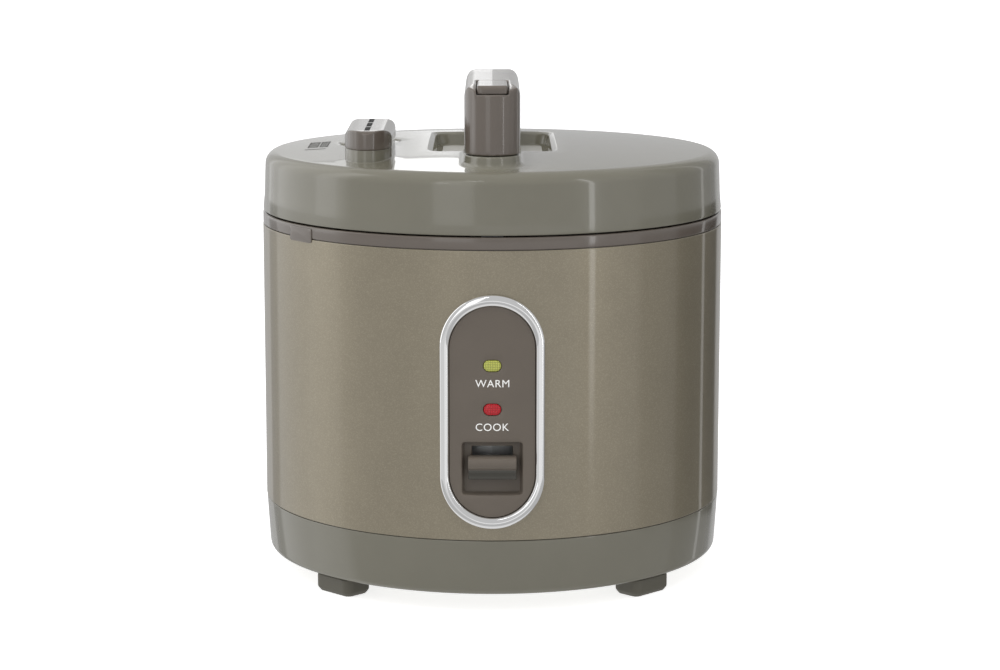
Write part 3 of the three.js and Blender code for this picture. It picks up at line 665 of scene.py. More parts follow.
def make_panel():
    width, tall = PANEL[1].x * 2, PANEL[1].z - PANEL[0].z
    edge = resampled(stadium(width, tall, 0, PANEL_Z), 2)
    recess_low, recess_high = 68.3, 97.9
    middle = (recess_low + recess_high) / 2

    def recess_ring(grow, lift):
        outline = rounded_rect(33.5 + 2 * grow, recess_high - recess_low + 2 * grow, 2.2 + grow, 0, middle)
        return resampled(outline, 1.5), lambda x, y: lift

    def lens_ring(z, grow, lift):
        return resampled(stadium(10 + 2 * grow, 6.5 + 2 * grow, 0, z, 8), 1), lambda x, y: lift

    lenses = [(mm_box(n)[0].z + mm_box(n)[1].z) / 2 for n in ("lens_warm", "lens_cook")]
    features = [
        [
            recess_ring(0.7, 0),
            recess_ring(0.45, -0.08),
            recess_ring(0.2, -0.3),
            recess_ring(0.05, -0.7),
            recess_ring(-0.1, -6.6),
            recess_ring(-0.4, -7.1),
            recess_ring(-1.0, -7.4),
        ]
    ]
    for z in lenses:
        steps = ((0.5, 0), (0.3, -0.1), (0.1, -0.4), (0, -3))
        features.append([lens_ring(z, grow, lift) for grow, lift in steps])
    slot = rounded_rect(24.4, SLOT_Z[1] - SLOT_Z[0], 1.2, 0, sum(SLOT_Z) / 2)
    features[0].append((resampled(slot, 1.5), lambda x, y: -7.4))
    features[0].append((resampled(slot_shrunk(slot), 1.5), lambda x, y: -8.8))
    points, faces, border = terrain(
        edge,
        features,
        3.0,
        lambda x, y: 0.0,
        holes=[features[0][-1][0]] + [f[-1][0] for f in features[1:]],
    )
    verts = [on_panel(*p) for p in points]
    # The plate's rim turns back to the shell.
    first = len(verts)
    count = len(border)
    verts += [on_panel(points[i][0], points[i][1], -2.6) for i in border]
    for i in range(count):
        j = (i + 1) % count
        faces.append([border[i], border[j], first + j, first + i])
    panel = new_object("panel_face_fine", verts, faces, brown_satin, 35)
    settle(panel, "panel_face")


def slot_shrunk(outline):
    middle = sum(SLOT_Z) / 2
    return [(x * 0.98, middle + (y - middle) * 0.98) for x, y in outline]


def make_bezel():
    """A half-round chrome bead that follows the stadium round the panel."""
    outer_w, outer_h = BEZEL[1].x * 2, BEZEL[1].z - BEZEL[0].z
    inner_w, inner_h = PANEL[1].x * 2 + 0.6, PANEL[1].z - PANEL[0].z + 0.6
    steps, across = 40, 14
    outer = stadium(outer_w, outer_h, 0, PANEL_Z, steps)
    inner = stadium(inner_w, inner_h, 0, PANEL_Z, steps)
    outer, inner = even_pair(outer, inner)
    rise, foot = 2.5, SHELL_R + 0.3 - PANEL_R
    section = [(0.0, foot)]
    for i in range(across + 1):
        a = math.pi * i / across
        section.append(((1 - math.cos(a)) / 2, 0.5 + (rise - 0.5) * math.sin(a) ** 0.7))
    section.append((1.0, foot))
    verts, faces = [], []
    for (x0, z0), (x1, z1) in zip(outer, inner):
        verts += [on_panel(x0 + (x1 - x0) * t, z0 + (z1 - z0) * t, lift) for t, lift in section]
    count, wide = len(outer), len(section)
    for i in range(count):
        j = (i + 1) % count
        for k in range(wide):
            m = (k + 1) % wide
            faces.append([i * wide + k, i * wide + m, j * wide + m, j * wide + k])
    settle(new_object("bezel_ring_fine", verts, faces, chrome, 50), "bezel_ring")


def even_pair(outer, inner):
    """Both stadiums with the same number of points, the straights divided alike."""

    def refine(outline):
        out = []
        for i, p in enumerate(outline):
            q = outline[(i + 1) % len(outline)]
            parts = 24 if math.dist(p, q) > 20 else 1
            out += [(p[0] + (q[0] - p[0]) * k / parts, p[1] + (q[1] - p[1]) * k / parts) for k in range(parts)]
        return out

    return refine(outer), refine(inner)


def make_lens(node, mat):
    low, high = mm_box(node)
    z = (low.z + high.z) / 2
    width, tall = high.x - low.x, high.z - low.z
    levels = [(1.0, -6.0), (1.0, -0.35), (0.96, -0.05), (0.88, 0.15), (0.7, 0.32), (0.4, 0.4), (0.12, 0.42)]
    outline = stadium(width, tall, 0, 0, 12)
    count = len(outline)
    verts = [on_panel(u * s, z + v * s, lift) for s, lift in levels for u, v in outline]
    faces = [
        [k * count + i, k * count + (i + 1) % count, (k + 1) * count + (i + 1) % count, (k + 1) * count + i]
        for k in range(len(levels) - 1)
        for i in range(count)
    ]
    faces.append(list(range(count))[::-1])
    faces.append(list(range((len(levels) - 1) * count, len(levels) * count)))
    settle(new_object(node + "_fine", verts, faces, mat), node)


def make_switch():
    low, high = SWITCH
    front = low.y
    outline = (
        [(-132.2, 76.8), (-135.0, 76.8)]
        + bezier((-135.4, 77.2), (-135.2, 80.6), (-136.2, 82.4), 6)
        + bezier((-136.6, 82.8), (front, 83.2), (front, 86.2), 8)
        + bezier((front, 86.4), (front, 89.9), (-135.6, 89.9), 8)
        + [(-130.6, 89.9)]
    )
    nose = prism("cook_lever_fine", outline, -13.3, 13.3, "yz", brown_satin)
    stem = block("stem", (-11.6, -131.4, 81), (11.6, -118.5, 87.4), brown_satin)
    boolean(nose, "UNION", stem)
    melted(nose, brown_satin, 0.3, 4)
    # Faces below the nose take the darker material: painted shade under the overhang.
    nose.data.materials.append(skirt_painted_shade)
    for face in nose.data.polygons:
        if face.center.z < 82.3 * MM:
            face.material_index = 1
    settle(nose, "cook_lever")


def label(name, words, z, cap, mat):
    """Raised printed letters on the panel, centred, cap millimetres tall."""
    curve = bpy.data.curves.new(name, "FONT")
    curve.body = words
    curve.align_x = "CENTER"
    curve.align_y = "CENTER"
    curve.size = cap / 0.70
    curve.space_character = 1.08
    curve.resolution_u = 6
    shape = bpy.data.objects.new(name + "_shape", curve)
    bpy.context.scene.collection.objects.link(shape)
    graph = bpy.context.evaluated_depsgraph_get()
    mesh = bpy.data.meshes.new_from_object(shape.evaluated_get(graph))
    discard(shape)
    xs = [v.co.x for v in mesh.vertices]
    ys = [v.co.y for v in mesh.vertices]
    shift = ((min(xs) + max(xs)) / 2, (min(ys) + max(ys)) / 2)
    verts = [on_panel(v.co.x - shift[0], z + v.co.y - shift[1], 0.06) for v in mesh.vertices]
    faces = [list(p.vertices) for p in mesh.polygons]
    return trim(new_object(name, verts, faces, mat), "body")


# ---------------------------------------------------------------- lid
def nosed(tip, back, half, nose, grow=0.0, x=0.0, corner=3.0, steps=20):
    """A plan with a semi-elliptical nose at tip and small corners at back, grown outwards by grow."""
    way = math.copysign(1, tip - back)
    tail, w, corner = back - way * grow, half + grow, max(0.2, corner + grow)
    start = tip - way * nose
    turn = [math.pi * (1 - i / steps) for i in range(steps + 1)]
    end = [(x + w * math.cos(a), start + way * (nose + grow) * math.sin(a)) for a in turn]
    right = bezier((x + w, tail + way * corner), (x + w, tail), (x + w - corner, tail), 5)
    left = bezier((x - w + corner, tail), (x - w, tail), (x - w, tail + way * corner), 5)
    return resampled(end + right + left, 3)


def upstand_rings(plan, flare, top, edge=1.0):
    """A boss that rises from the lid with a fillet at its foot and a rounded edge; plan(grow) draws it."""
    rings = []
    for i in range(7):
        t = math.pi / 2 * i / 6
        rise = flare * (1 - math.cos(t))
        rings.append((plan(flare * (1 - math.sin(t))), lambda x, y, r=rise: lid_top(x, y) + r))
    for inset, drop in ((0.08, 1.3), (0.2, 0.5), (0.45, 0.12), (0.9, 0)):
        rings.append((plan(-inset * edge), lambda x, y, h=top - drop * edge: h))
    return rings


def circle_outline(x, y, r, count=48):
    return [(x + r * math.cos(TURN * i / count), y + r * math.sin(TURN * i / count)) for i in range(count)]


def pedestal_rings(end, back):
    """The upstand under one end of the handle."""
    return upstand_rings(lambda grow: nosed(end, back, 15.6, 20, grow), 3.4, HANDLE[0].z - 0.35)


def seat_rings():
    """The upstand under the pressure lever, with the nozzle's pocket in it."""
    low, high = LEVER
    x, y = (low.x + high.x) / 2, mm_box("steam_nozzle")[0].y + 6
    top = low.z + 0.1
    half = high.x - x - 0.1
    rings = upstand_rings(lambda grow: nosed(low.y + 0.2, -23, half, LEVER_NOSE, grow, x), 0.5, top, 0.3)
    rings.append((circle_outline(x, y, 7.6), lambda a, b: top))
    rings.append((circle_outline(x, y, 7.4), lambda a, b: 249.2))
    return rings


def well_rings(x, y_low, y_high):
    """The finger well: a chamfered rim, drafted walls and a filleted floor."""
    middle, length = (y_low + y_high) / 2, y_high - y_low
    floor = LID_BOTTOM + 29.2

    def ring(grow, rise):
        return resampled(rounded_rect(2 * x + 2 * grow, length + 2 * grow, 9 + grow, 0, middle, 8), 3), rise

    rim = [(3.3, 0), (2.9, -0.06), (2.4, -0.25), (0.6, -1.15), (0.15, -1.5), (-0.05, -2.1)]
    rings = [ring(grow, lambda a, b, d=drop: lid_top(a, b) + d) for grow, drop in rim]
    walls = [(-1.6, floor + 1.6), (-1.85, floor + 0.8), (-2.3, floor + 0.3), (-3.0, floor + 0.06), (-3.8, floor)]
    return rings + [ring(grow, lambda a, b, z=level: z) for grow, level in walls]


def vent_rings():
    x, y = (VENT[0].x + VENT[1].x) / 2, (VENT[0].y + VENT[1].y) / 2
    floor = VENT[0].z - 0.3
    radius = (VENT[1].x - VENT[0].x) / 2 + 0.8

    slope = [(radius + 0.5, 0), (radius + 0.2, -0.08), (radius, -0.3)]
    rings = [(circle_outline(x, y, r, 72), lambda a, b, d=drop: lid_top(a, b) + d) for r, drop in slope]
    for inset, rise in ((0.1, 0.2), (0.4, 0)):
        rings.append((circle_outline(x, y, radius - inset, 72), lambda a, b, z=floor + rise: z))
    return rings


def make_lid():
    sides = 240
    edge = [(TOP_R * math.sin(TURN * i / sides), -TOP_R * math.cos(TURN * i / sides)) for i in range(sides)]
    features = [
        well_rings(34.2, -51.4, 68.4),
        pedestal_rings(-121.4, -57),
        pedestal_rings(121.4, 76),
        seat_rings(),
        vent_rings(),
    ]
    points, faces, border = terrain(edge, features, 6.0, lid_top)
    verts = [tuple(p) for p in points]
    profile = []
    for i in range(1, 11):
        a = math.radians(85.6 * (1 - i / 10))
        profile.append(
            (
                SHOULDER_R - SHOULDER_FILLET + SHOULDER_FILLET * math.cos(a),
                SHOULDER_Z + SHOULDER_FILLET * math.sin(a),
            )
        )
    profile += [(134.0, LID_BOTTOM + 19), (134.3, LID_BOTTOM + 10), (LID_R - 0.1, LID_BOTTOM + 1.2)]
    profile += [(LID_R - 0.25, LID_BOTTOM + 0.3), (LID_R - 0.7, LID_BOTTOM), (132.9, LID_BOTTOM)]
    profile += [(132.4, LID_BOTTOM + 6), (131.4, LID_BOTTOM + 23), (128, LID_BOTTOM + 26)]
    before = border
    for r, z in profile:
        first = len(verts)
        verts += [(r * x / TOP_R, r * y / TOP_R, z) for x, y in edge]
        ring = list(range(first, first + sides))
        for i in range(sides):
            j = (i + 1) % sides
            faces.append([before[i], before[j], ring[j], ring[i]])
        before = ring
    faces.append(list(before))
    lid = new_object("lid_outer_fine", verts, faces, olive_gloss, 40)
    settle(lid, "lid_outer")
    # A thin light grey sheet on the finger well's floor: painted reflection, lighter than the lid, where the
    # floor would catch light.
    floor = LID_BOTTOM + 29.2
    reflection_outline = rounded_rect(60, 111.4, 5.5, 0, 8.5)
    trim(prism("finger_well_painted_reflection", reflection_outline, floor + 0.02, floor + 0.3, "xy", well_painted_reflection), "lid")


def make_vent_cap():
    low, high = VENT
    x, y, r = (low.x + high.x) / 2, (low.y + high.y) / 2, (high.x - low.x) / 2
    top = lid_top(x, y) + 0.1
    outline = filleted([(0, low.z, 0), (r, low.z, 0), (r, top - 0.2, 0.6), (r - 3, top, 1.0), (0, top + 0.15, 0)])
    cap = lathe("steam_vent_cap_fine", outline, olive_gloss, sides=96, closed=False)
    cutters = []
    for dx in (-8, 0, 8):
        cutters.append(prism("slot", rounded_rect(3, 16, 1.45, dx, 0), 245, 255, "xy", olive_gloss))
    boolean(cap, "DIFFERENCE", *cutters)
    finish_mesh(cap, olive_gloss, 30)
    cap.data.transform(Matrix.Translation(Vector((x, y, 0)) * MM))
    settle(cap, "steam_vent_cap")


# ---------------------------------------------------------------- handle and button
def loft(name, sections, mat):
    """A solid through sections that hold the same number of points each."""
    count = len(sections[0])
    faces = [list(range(count)), list(range((len(sections) - 1) * count, len(sections) * count))[::-1]]
    for k in range(len(sections) - 1):
        for i in range(count):
            j = (i + 1) % count
            faces.append([k * count + i, k * count + j, (k + 1) * count + j, (k + 1) * count + i])
    return new_object(name, [p for section in sections for p in section], faces, mat)


def arch_section(y, top):
    """The handle's cross-section where its top line is at height top: straight sides, round shoulders."""
    half, width, height, foot = HANDLE[1].x, 5.4, 6.8, 215
    quarter = [math.pi / 2 * i / 10 for i in range(11)]
    right = [(half - width * (1 - math.cos(a)), y, top - height * (1 - math.sin(a))) for a in quarter]
    left = [(-x, y, z) for x, _, z in reversed(right)]
    return [(half, y, foot), *right, *left, (-half, y, foot)]


def arch_outline():
    """Side view of the handle, open at the top, where the loft ends it; its brow curves down to the front."""
    low, high = HANDLE
    base, top = low.z, high.z
    brow = top - 4.6
    under = mm_box("grip_cover")[1].z + 0.3
    return (
        [(low.y, base), (low.y, brow - 2.2)]
        + bezier((low.y, brow - 2), (low.y, brow), (low.y + 2, brow + 0.7), 5)
        + bezier((low.y + 2.2, brow + 0.8), (low.y + 9, top - 1), (low.y + 20, top + 0.1), 10)
        + [(low.y + 22, top + 3), (high.y + 1, top + 3), (high.y + 1, base)]
        + bezier((76, base), (70, under), (46, under), 12)
        + bezier((-38, under), (-56, under), (-57, base), 12)
    )


def make_handle():
    low, high = HANDLE
    half, top = high.x, 2 * high.z - 293
    line = [(low.y - 1, top), (-30, top)]
    line += bezier((-30, top), (68, top + 1), (96, top - 15.8), 24)[1:]
    line += bezier((96, top - 15.8), (118, top - 28.8), (high.y, low.z), 16)[1:]
    body = loft("handle_bar_fine", [arch_section(y, z) for y, z in line], brown_gloss)
    side = prism("side", arch_outline(), -half - 1, half + 1, "yz", brown_gloss)
    turn = [math.pi * i / 40 for i in range(41)]
    outline = []
    for way in (1, -1):
        start = way * (high.y - HANDLE_NOSE)
        outline += [(way * half * math.cos(a), start + way * HANDLE_NOSE * math.sin(a)) for a in turn]
    plan = prism("plan", outline, low.z - 5, top + 5, "xy", brown_gloss)
    boolean(body, "INTERSECT", side, plan)
    button_x = BUTTON[1].x + 0.25
    button_front, button_back = BUTTON[0].y - 0.2, BUTTON[1].y + 0.4
    floor = BUTTON[1].z - 8.2
    lip = HANDLE[1].z - 5.1
    boolean(
        body,
        "DIFFERENCE",
        block("well", (-button_x, button_front, floor), (button_x, button_back, top + 9), brown_gloss),
        block("lip", (-button_x, low.y - 5, lip), (button_x, button_front + 1, top + 9), brown_gloss),
        prism("bore", circle_outline(0, -108, 3.2), low.z - 9, floor + 5, "xy", brown_gloss),
    )
    melted(body, brown_gloss, 0.6, 7)
    settle(body, "handle_bar")
    refined("grip_cover", brown_satin, 0.4, 3)


def make_button():
    low, high = BUTTON
    half, cap_low, top = high.x, high.z - 4.9, high.z
    outline = (
        [(high.y, cap_low), (high.y, top - 1.2)]
        + bezier((high.y, top - 1), (high.y, top), (high.y - 1.2, top), 4)
        + bezier((low.y + 3.2, top), (low.y, top), (low.y, top - 2.6), 6)
        + [(low.y, cap_low)]
    )
    cap = prism("thumb_button_fine", outline[::-1], -half, half, "yz", brown_gloss)
    section = rounded_rect(2 * half, 2 * (top - cap_low), 1.6, 0, cap_low)
    plan = rounded_rect(2 * half, high.y - low.y, 3, 0, (high.y + low.y) / 2)
    boolean(
        cap,
        "INTERSECT",
        prism("section", section, low.y - 2, high.y + 2, "xz", brown_gloss),
        prism("plan", plan, cap_low - 5, top + 5, "xy", brown_gloss),
    )
    stem = prism("stem", circle_outline(0, -108, 2.6, 24), low.z, cap_low + 1, "xy", brown_gloss)
    collar = prism("collar", circle_outline(0, -108, 5.4, 32), 281, 283, "xy", brown_gloss)
    boolean(cap, "UNION", stem, collar)
    melted(cap, brown_gloss, 0.4, 4)
    settle(cap, "thumb_button")


def make_button_spring():
    """A steel copy of the button spring, its transform baked into the mesh, standing for the CAD node."""
    spring = bpy.data.objects.new("button_spring_fine", frame["nodes"]["button_spring"].data.copy())
    bpy.context.scene.collection.objects.link(spring)
    finish_mesh(spring, steel)
    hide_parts("button_spring")
    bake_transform(spring)


# ---------------------------------------------------------------- pressure lever
def make_pressure_lever():
    low, high = LEVER
    x, half, top = (low.x + high.x) / 2, (high.x - low.x) / 2, high.z
    pivot_z, nozzle_y = 257.55, mm_box("steam_nozzle")[0].y + 6
    side = bezier((low.y, top - 3.4), (low.y, top), (low.y + 4, top), 8)
    side += bezier((high.y - 4, top), (high.y, top - 0.4), (high.y, pivot_z), 8)
    side += [(high.y - 0.8, low.z), (low.y, low.z)]
    body = prism("pressure_lever_fine", side, low.x, high.x, "yz", brown_gloss)
    section = bezier((low.x, top - 6.5), (low.x, top), (low.x + 6.5, top), 10)
    section += bezier((high.x - 6.5, top), (high.x, top), (high.x, top - 6.5), 10)
    section += [(high.x, low.z - 1), (low.x, low.z - 1)]
    plan = nosed(low.y, high.y, half, LEVER_NOSE, x=x)
    boolean(
        body,
        "INTERSECT",
        prism("section", section, low.y - 5, high.y + 5, "xz", brown_gloss),
        prism("plan", plan, 240, 270, "xy", brown_gloss),
    )
    boolean(
        body,
        "DIFFERENCE",
        block("fork", (x - 3.6, -21.5, 240), (x + 3.6, 0, 260.2), brown_gloss),
        prism("pocket", circle_outline(x, nozzle_y, 7.6), 240, 258, "xy", brown_gloss),
    )
    melted(body, brown_gloss, 0.45, 5)
    settle(body, "pressure_lever")
    wide, long, pitch = 3, 21, 25
    for i in range(3):
        start = low.y + 4 + i * pitch
        corners = (x - wide / 2, start, top - 0.3), (x + wide / 2, start + long, top + 0.06)
        trim(block(f"lever_mark_{i + 1}", *corners, black_ink), "pressure_valve")


def on_lid(x, y, lift=0.05):
    return (x, y, lid_top(x, y) + lift)


def lid_stroke(name, path, width, mat):
    """A printed line on the lid's top."""
    verts, faces = [], []
    for i, p in enumerate(path):
        a = Vector(path[max(i - 1, 0)])
        b = Vector(path[min(i + 1, len(path) - 1)])
        side = Vector((-(b - a).y, (b - a).x)).normalized() * width / 2
        verts += [on_lid(p[0] + side.x, p[1] + side.y), on_lid(p[0] - side.x, p[1] - side.y)]
    for i in range(len(path) - 1):
        faces.append([2 * i, 2 * i + 1, 2 * i + 3, 2 * i + 2])
    return trim(new_object(name, verts, faces, mat), "lid")


def make_lid_marks():
    """Two rows of printed ticks beside the pressure lever, and a line in front of them."""
    for row, (left, right) in enumerate(((-108.2, -102.6), (-101.2, -96.8))):
        for i in range(8):
            y = -11 + 4.4 * i
            ends = [(left + (right - left) * t / 2, y) for t in range(3)]
            lid_stroke(f"tick_{row + 1}_{i + 1}", ends, 2.3 if i % 2 else 1.7, grey_ink)
        for x in (left, right):
            lid_stroke(f"row_{row + 1}_{x:.0f}", [(x, -11 + 4 * t) for t in range(9)], 0.7, grey_ink)
    lid_stroke("base_line", [(-109.2 + 2 * t, -21) for t in range(7)], 2.2, grey_ink)


# ---------------------------------------------------------------- inner pieces
def make_pot():
    low, high = mm_box("inner_pot")
    rim, r, wall = high.x, 109.5, 1.9
    outline = filleted(
        [
            (0, low.z, 0),
            (108.4, low.z, 21),
            (r, 206, 0.6),
            (rim, 206, 0.5),
            (rim, high.z, 0.5),
            (r - wall, high.z, 1.2),
            (106.5, low.z + wall, 19),
            (0, low.z + wall, 0),
        ],
        closed=False,
        steps=8,
    )
    settle(lathe("inner_pot_fine", outline, pot_coating, closed=False), "inner_pot")
    for k, z in enumerate((95, 112, 129, 146, 163, 180)):
        verts, faces = [], []
        reach = 0.1 if k % 2 else 0.16
        for i in range(9):
            a = math.radians(150) + reach * (i / 8 - 0.5)
            radius = 106.6 + (z - 83) / 123 * 0.9
            verts += [(radius * math.sin(a), -radius * math.cos(a), z + h) for h in (-0.5, 0.5)]
        faces = [[2 * i, 2 * i + 1, 2 * i + 3, 2 * i + 2] for i in range(8)]
        trim(new_object(f"level_mark_{k + 1}", verts, faces, white_ink_painted_glow), "body")


def make_lid_inside():
    low, high = mm_box("lid_frame")
    frame_outline = filleted(
        [
            (0, 213.4, 0),
            (118.6, 213.4, 0),
            (118.6, 212.6, 0.3),
            (132.3, 212.6, 0.5),
            (131.8, high.z, 0.3),
            (130, high.z, 0),
            (129.4, 214.8, 0),
            (0, 215.4, 0),
        ],
        closed=False,
    )
    inner = lathe("lid_frame_fine", frame_outline, brown_satin, closed=False)
    boolean(inner, "DIFFERENCE", block("hook_window", (-8.5, -133, 205), (8.5, -121, 220), brown_satin))
    finish_mesh(inner, brown_satin, 30)
    settle(inner, "lid_frame")
    seal = filleted(
        [
            (107.2, 209.6, 0.6),
            (108.6, 207.5, 0.8),
            (117.4, 207.5, 1.0),
            (118.2, 209, 0.8),
            (118.2, 213.1, 0.3),
            (107.2, 213.1, 0.3),
        ]
    )
    settle(lathe("sealing_ring_fine", seal, silicone), "sealing_ring")
    plate = filleted(
        [
            (0, 209, 0),
            (30, 208, 6),
            (98, 208, 3),
            (105.5, 209.5, 1),
            (106.8, 212, 0.8),
            (105.8, 213.1, 0.4),
            (104.6, 212, 0.3),
            (103.6, 210.4, 0.8),
            (98, 209.2, 2),
            (30, 209.2, 6),
            (0, 210.2, 0),
        ],
        closed=False,
    )
    disc = lathe("inner_lid_plate_fine", plate, aluminium, closed=False)
    settle(disc, "inner_lid_plate")


def make_rear():
    refined("hinge_housing", olive_gloss, 0.6, 4)
    refined("lid_hinge_bracket", olive_gloss, 0.6, 4)
    refined("power_inlet", black_plastic, 0.5, 3)
    for node in ("line", "earth", "neutral"):
        refined("inlet_pin_" + node, brass, 0.25, 2)


def dress_cad_nodes():
    """Materials for the CAD nodes that show as they are."""
    looks = {
        "bottom_cover": steel,
        "cover_screw_1": steel,
        "cover_screw_2": steel,
        "cover_screw_3": steel,
        "cover_screw_4": steel,
        "hinge_pin": steel,
        "hinge_spring": steel,
        "inner_can": aluminium,
        "heating_plate": aluminium,
        "sensor_cup": steel,
        "sensor_spring": steel,
        "magnet_plunger": steel,
        "lamp_board": board,
        "lever_bracket": steel,
        "lever_pin": steel,
        "switch_link": steel,
        "switch_arm": steel,
        "arm_bracket": steel,
        "arm_pin": steel,
        "micro_switch": black_plastic,
        "steam_duct": brown_satin,
        "steam_nozzle": steel,
        "latch_hook": steel,
        "latch_bracket": steel,
        "latch_pin": steel,
        "valve_plug": black_plastic,
        "valve_bracket": steel,
        "valve_pin": steel,
    }
    for node, mat in looks.items():
        mesh = frame["nodes"][node].data
        mesh.materials.clear()
        mesh.materials.append(mat)


# ---------------------------------------------------------------- stage
class Studio:
    """The world round the object, built up from soft-edged panels on a dim sky."""

    def __init__(self, glow):
        self.world = bpy.data.worlds.new("studio")
        bpy.context.scene.world = self.world
        self.world.use_nodes = True
        self.nodes, self.links = self.world.node_tree.nodes, self.world.node_tree.links
        place = self.nodes.new("ShaderNodeTexCoord")
        split = self.nodes.new("ShaderNodeSeparateXYZ")
        self.links.new(place.outputs["Generated"], split.inputs["Vector"])
        behind = self.math("MULTIPLY", split.outputs["Y"], -1)
        self.azimuth = self.math("ARCTAN2", split.outputs["X"], behind)
        self.elevation = self.math("ARCSINE", split.outputs["Z"])
        self.glow = self.math("ADD", glow, 0)

    def math(self, operation, a, b=None):
        node = self.nodes.new("ShaderNodeMath")
        node.operation = operation
        for socket, value in zip(node.inputs, (a, b)):
            if isinstance(value, (int, float)):
                socket.default_value = value
            elif value is not None:
                self.links.new(value, socket)
        return node.outputs["Value"]

    def ramp(self, value, middle, soft, falling=False):
        """A smooth step at middle, both in degrees."""
        node = self.nodes.new("ShaderNodeMapRange")
        node.interpolation_type = "SMOOTHSTEP"
        ends = (middle - soft / 2, middle + soft / 2)
        node.inputs["From Min"].default_value, node.inputs["From Max"].default_value = map(math.radians, ends)
        if falling:
            node.inputs["To Min"].default_value, node.inputs["To Max"].default_value = 1, 0
        self.links.new(value, node.inputs["Value"])
        return node.outputs["Result"]

    def panel(self, strength, azimuth=None, elevation=None, soft=3.0, lift_soft=6.0):
        """Blends strength in between two azimuths, from the front towards +X, and two elevations."""
        mask = None
        for value, ends, blur in ((self.azimuth, azimuth, soft), (self.elevation, elevation, lift_soft)):
            if ends:
                rise, fall = self.ramp(value, ends[0], blur), self.ramp(value, ends[1], blur, True)
                both = self.math("MULTIPLY", rise, fall)
                mask = self.math("MULTIPLY", mask, both) if mask else both
        change = self.math("MULTIPLY", self.math("SUBTRACT", strength, self.glow), mask)
        self.glow = self.math("ADD", self.glow, change)

    def finish(self):
        background = self.nodes["Background"]
        background.inputs["Color"].default_value = (1, 1, 1, 1)
        self.links.new(self.glow, background.inputs["Strength"])


def make_world():
    studio = Studio(0.52)
    lid, shell = (-6, 50), (-70, -6)  # reflected in the lid's wall; in the walls below it
    studio.panel(0.70, elevation=(-91, -38), lift_soft=16)
    studio.panel(1.05, azimuth=(-152, -77), elevation=lid, soft=8, lift_soft=1)
    studio.panel(0.74, azimuth=(-152, -72), elevation=shell, soft=11, lift_soft=1)
    studio.panel(1.60, azimuth=(-98, -83), elevation=lid, soft=4, lift_soft=1)
    studio.panel(0.88, azimuth=(-105, -80), elevation=shell, soft=5, lift_soft=1)
    studio.panel(0.75, azimuth=(-149, -136), elevation=lid, soft=4, lift_soft=1)
    studio.panel(0.30, azimuth=(-149, -136), elevation=shell, soft=4, lift_soft=1)
    studio.panel(1.15, azimuth=(-29, -9), elevation=(-12, 40), soft=4)
    studio.panel(0.62, azimuth=(-80, 43), elevation=(-14.5, -6), soft=6, lift_soft=1)
    studio.panel(0.78, azimuth=(-9, 43), elevation=(-14.5, -6), soft=4, lift_soft=1)
    studio.panel(0.62, azimuth=(48, 78), elevation=(-13, 40), soft=12)
    studio.panel(3.60, azimuth=(48.5, 51.5), elevation=(-11, 40), soft=1.5)
    studio.panel(0.30, azimuth=(78, 105), elevation=shell, soft=6, lift_soft=1)
    studio.panel(0.45, azimuth=(-76, 104), elevation=(-38, -14.5), soft=6, lift_soft=1)
    studio.panel(0.30, azimuth=(104, 152), elevation=(-70, 45), soft=5)
    studio.panel(0.02, azimuth=(104, 152), elevation=(-14, -6), soft=5, lift_soft=1)
    studio.panel(0.90, azimuth=(129, 132), elevation=(-70, 45), soft=1.5)
    studio.panel(4.00, azimuth=(-29, -22), elevation=(18, 22), soft=1.5, lift_soft=1)
    studio.panel(4.00, azimuth=(-15, -5), elevation=(38, 42), soft=1.5, lift_soft=1)
    studio.panel(0.66, azimuth=(-179, -166), elevation=(-1, 13), soft=4, lift_soft=1)
    studio.panel(1.08, azimuth=(-183, -178), elevation=(-1, 13), soft=3, lift_soft=1)
    studio.panel(1.00, azimuth=(-181, -170), elevation=(11.5, 40), soft=1.5, lift_soft=0.8)
    studio.panel(2.20, azimuth=(-181, -176.6), elevation=(11.5, 40), soft=1.5, lift_soft=0.8)
    studio.panel(0.50, azimuth=(-181, -168), elevation=(10.8, 11.5), soft=1.5, lift_soft=0.4)
    studio.finish()


def area_light(name, place, aim, size, power):
    lamp = bpy.data.lights.new(name, "AREA")
    lamp.shape = "RECTANGLE"
    lamp.size, lamp.size_y = size
    lamp.energy = power
    obj = bpy.data.objects.new(name, lamp)
    obj.location = place
    obj.rotation_euler = (Vector(aim) - Vector(place)).to_track_quat("-Z", "Y").to_euler()
    obj.visible_glossy = False
    bpy.context.scene.collection.objects.link(obj)


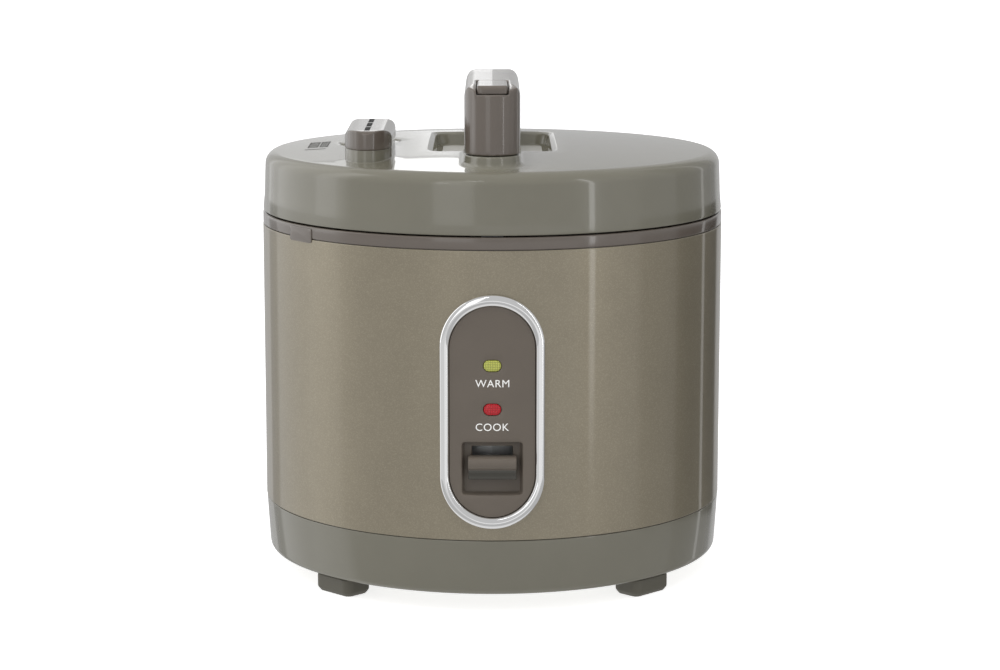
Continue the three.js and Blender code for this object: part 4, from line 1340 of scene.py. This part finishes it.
def stage_piece(name, verts, faces, glow):
    """A white surface that only the camera sees, so that it adds no reflection to the object."""
    mat, nodes, links = material(name)
    shader = nodes["Principled BSDF"]
    shader.inputs["Base Color"].default_value = (0.93, 0.93, 0.93, 1)
    shader.inputs["Roughness"].default_value = 0.6
    shader.inputs["Emission Color"].default_value = (1, 1, 1, 1)
    shader.inputs["Emission Strength"].default_value = glow
    mat.cycles.emission_sampling = "NONE"
    mesh = bpy.data.meshes.new(name)
    mesh.from_pydata(verts, [], faces)
    obj = bpy.data.objects.new(name, mesh)
    obj.data.materials.append(mat)
    obj.visible_glossy = obj.visible_diffuse = obj.visible_shadow = False
    bpy.context.scene.collection.objects.link(obj)
    return obj


def make_stage():
    span = 12
    corners = [(-span, -span), (span, -span), (span, span), (-span, span)]
    stage_piece("floor", [(x, y, 0) for x, y in corners], [[0, 1, 2, 3]], 0.75)
    around = [[i, (i + 1) % 4, (i + 1) % 4 + 4, i + 4] for i in range(4)]
    walls = [(x, y, -0.01) for x, y in corners] + [(x, y, span) for x, y in corners]
    stage_piece("backdrop", walls, around, 1.0)
    make_world()
    area_light("overhead", (-0.2, -0.5, 1.7), (0, 0, 0.2), (0.9, 0.9), 9)
    bpy.context.scene.view_settings.view_transform = "Standard"


def make_camera():
    """Level with the lid, 1.6 m away, looking slightly down."""
    data = bpy.data.cameras.new("camera")
    data.sensor_width = 36
    data.lens = 97.6
    data.shift_x = 0.0077
    cam = bpy.data.objects.new("camera", data)
    cam.location = (0, -1.597, 0.4085)
    cam.rotation_euler = (math.radians(90 - 9.73), 0, 0)
    bpy.context.scene.collection.objects.link(cam)
    bpy.context.scene.camera = cam


make_camera()
make_stage()
make_base()
make_outer_shell()
make_collar()
make_clip()
make_panel()
make_bezel()
make_lens("lens_warm", amber_lens)
make_lens("lens_cook", red_lens)
make_switch()
label("label_warm", "WARM", mm_box("lens_warm")[0].z - 6.75, 4.15, white_ink_painted_glow)
label("label_cook", "COOK", mm_box("lens_cook")[0].z - 6.75, 4.15, white_ink_painted_glow)
make_lid()
make_vent_cap()
make_handle()
make_button()
make_button_spring()
make_pressure_lever()
make_lid_marks()
make_pot()
make_lid_inside()
make_rear()
dress_cad_nodes()
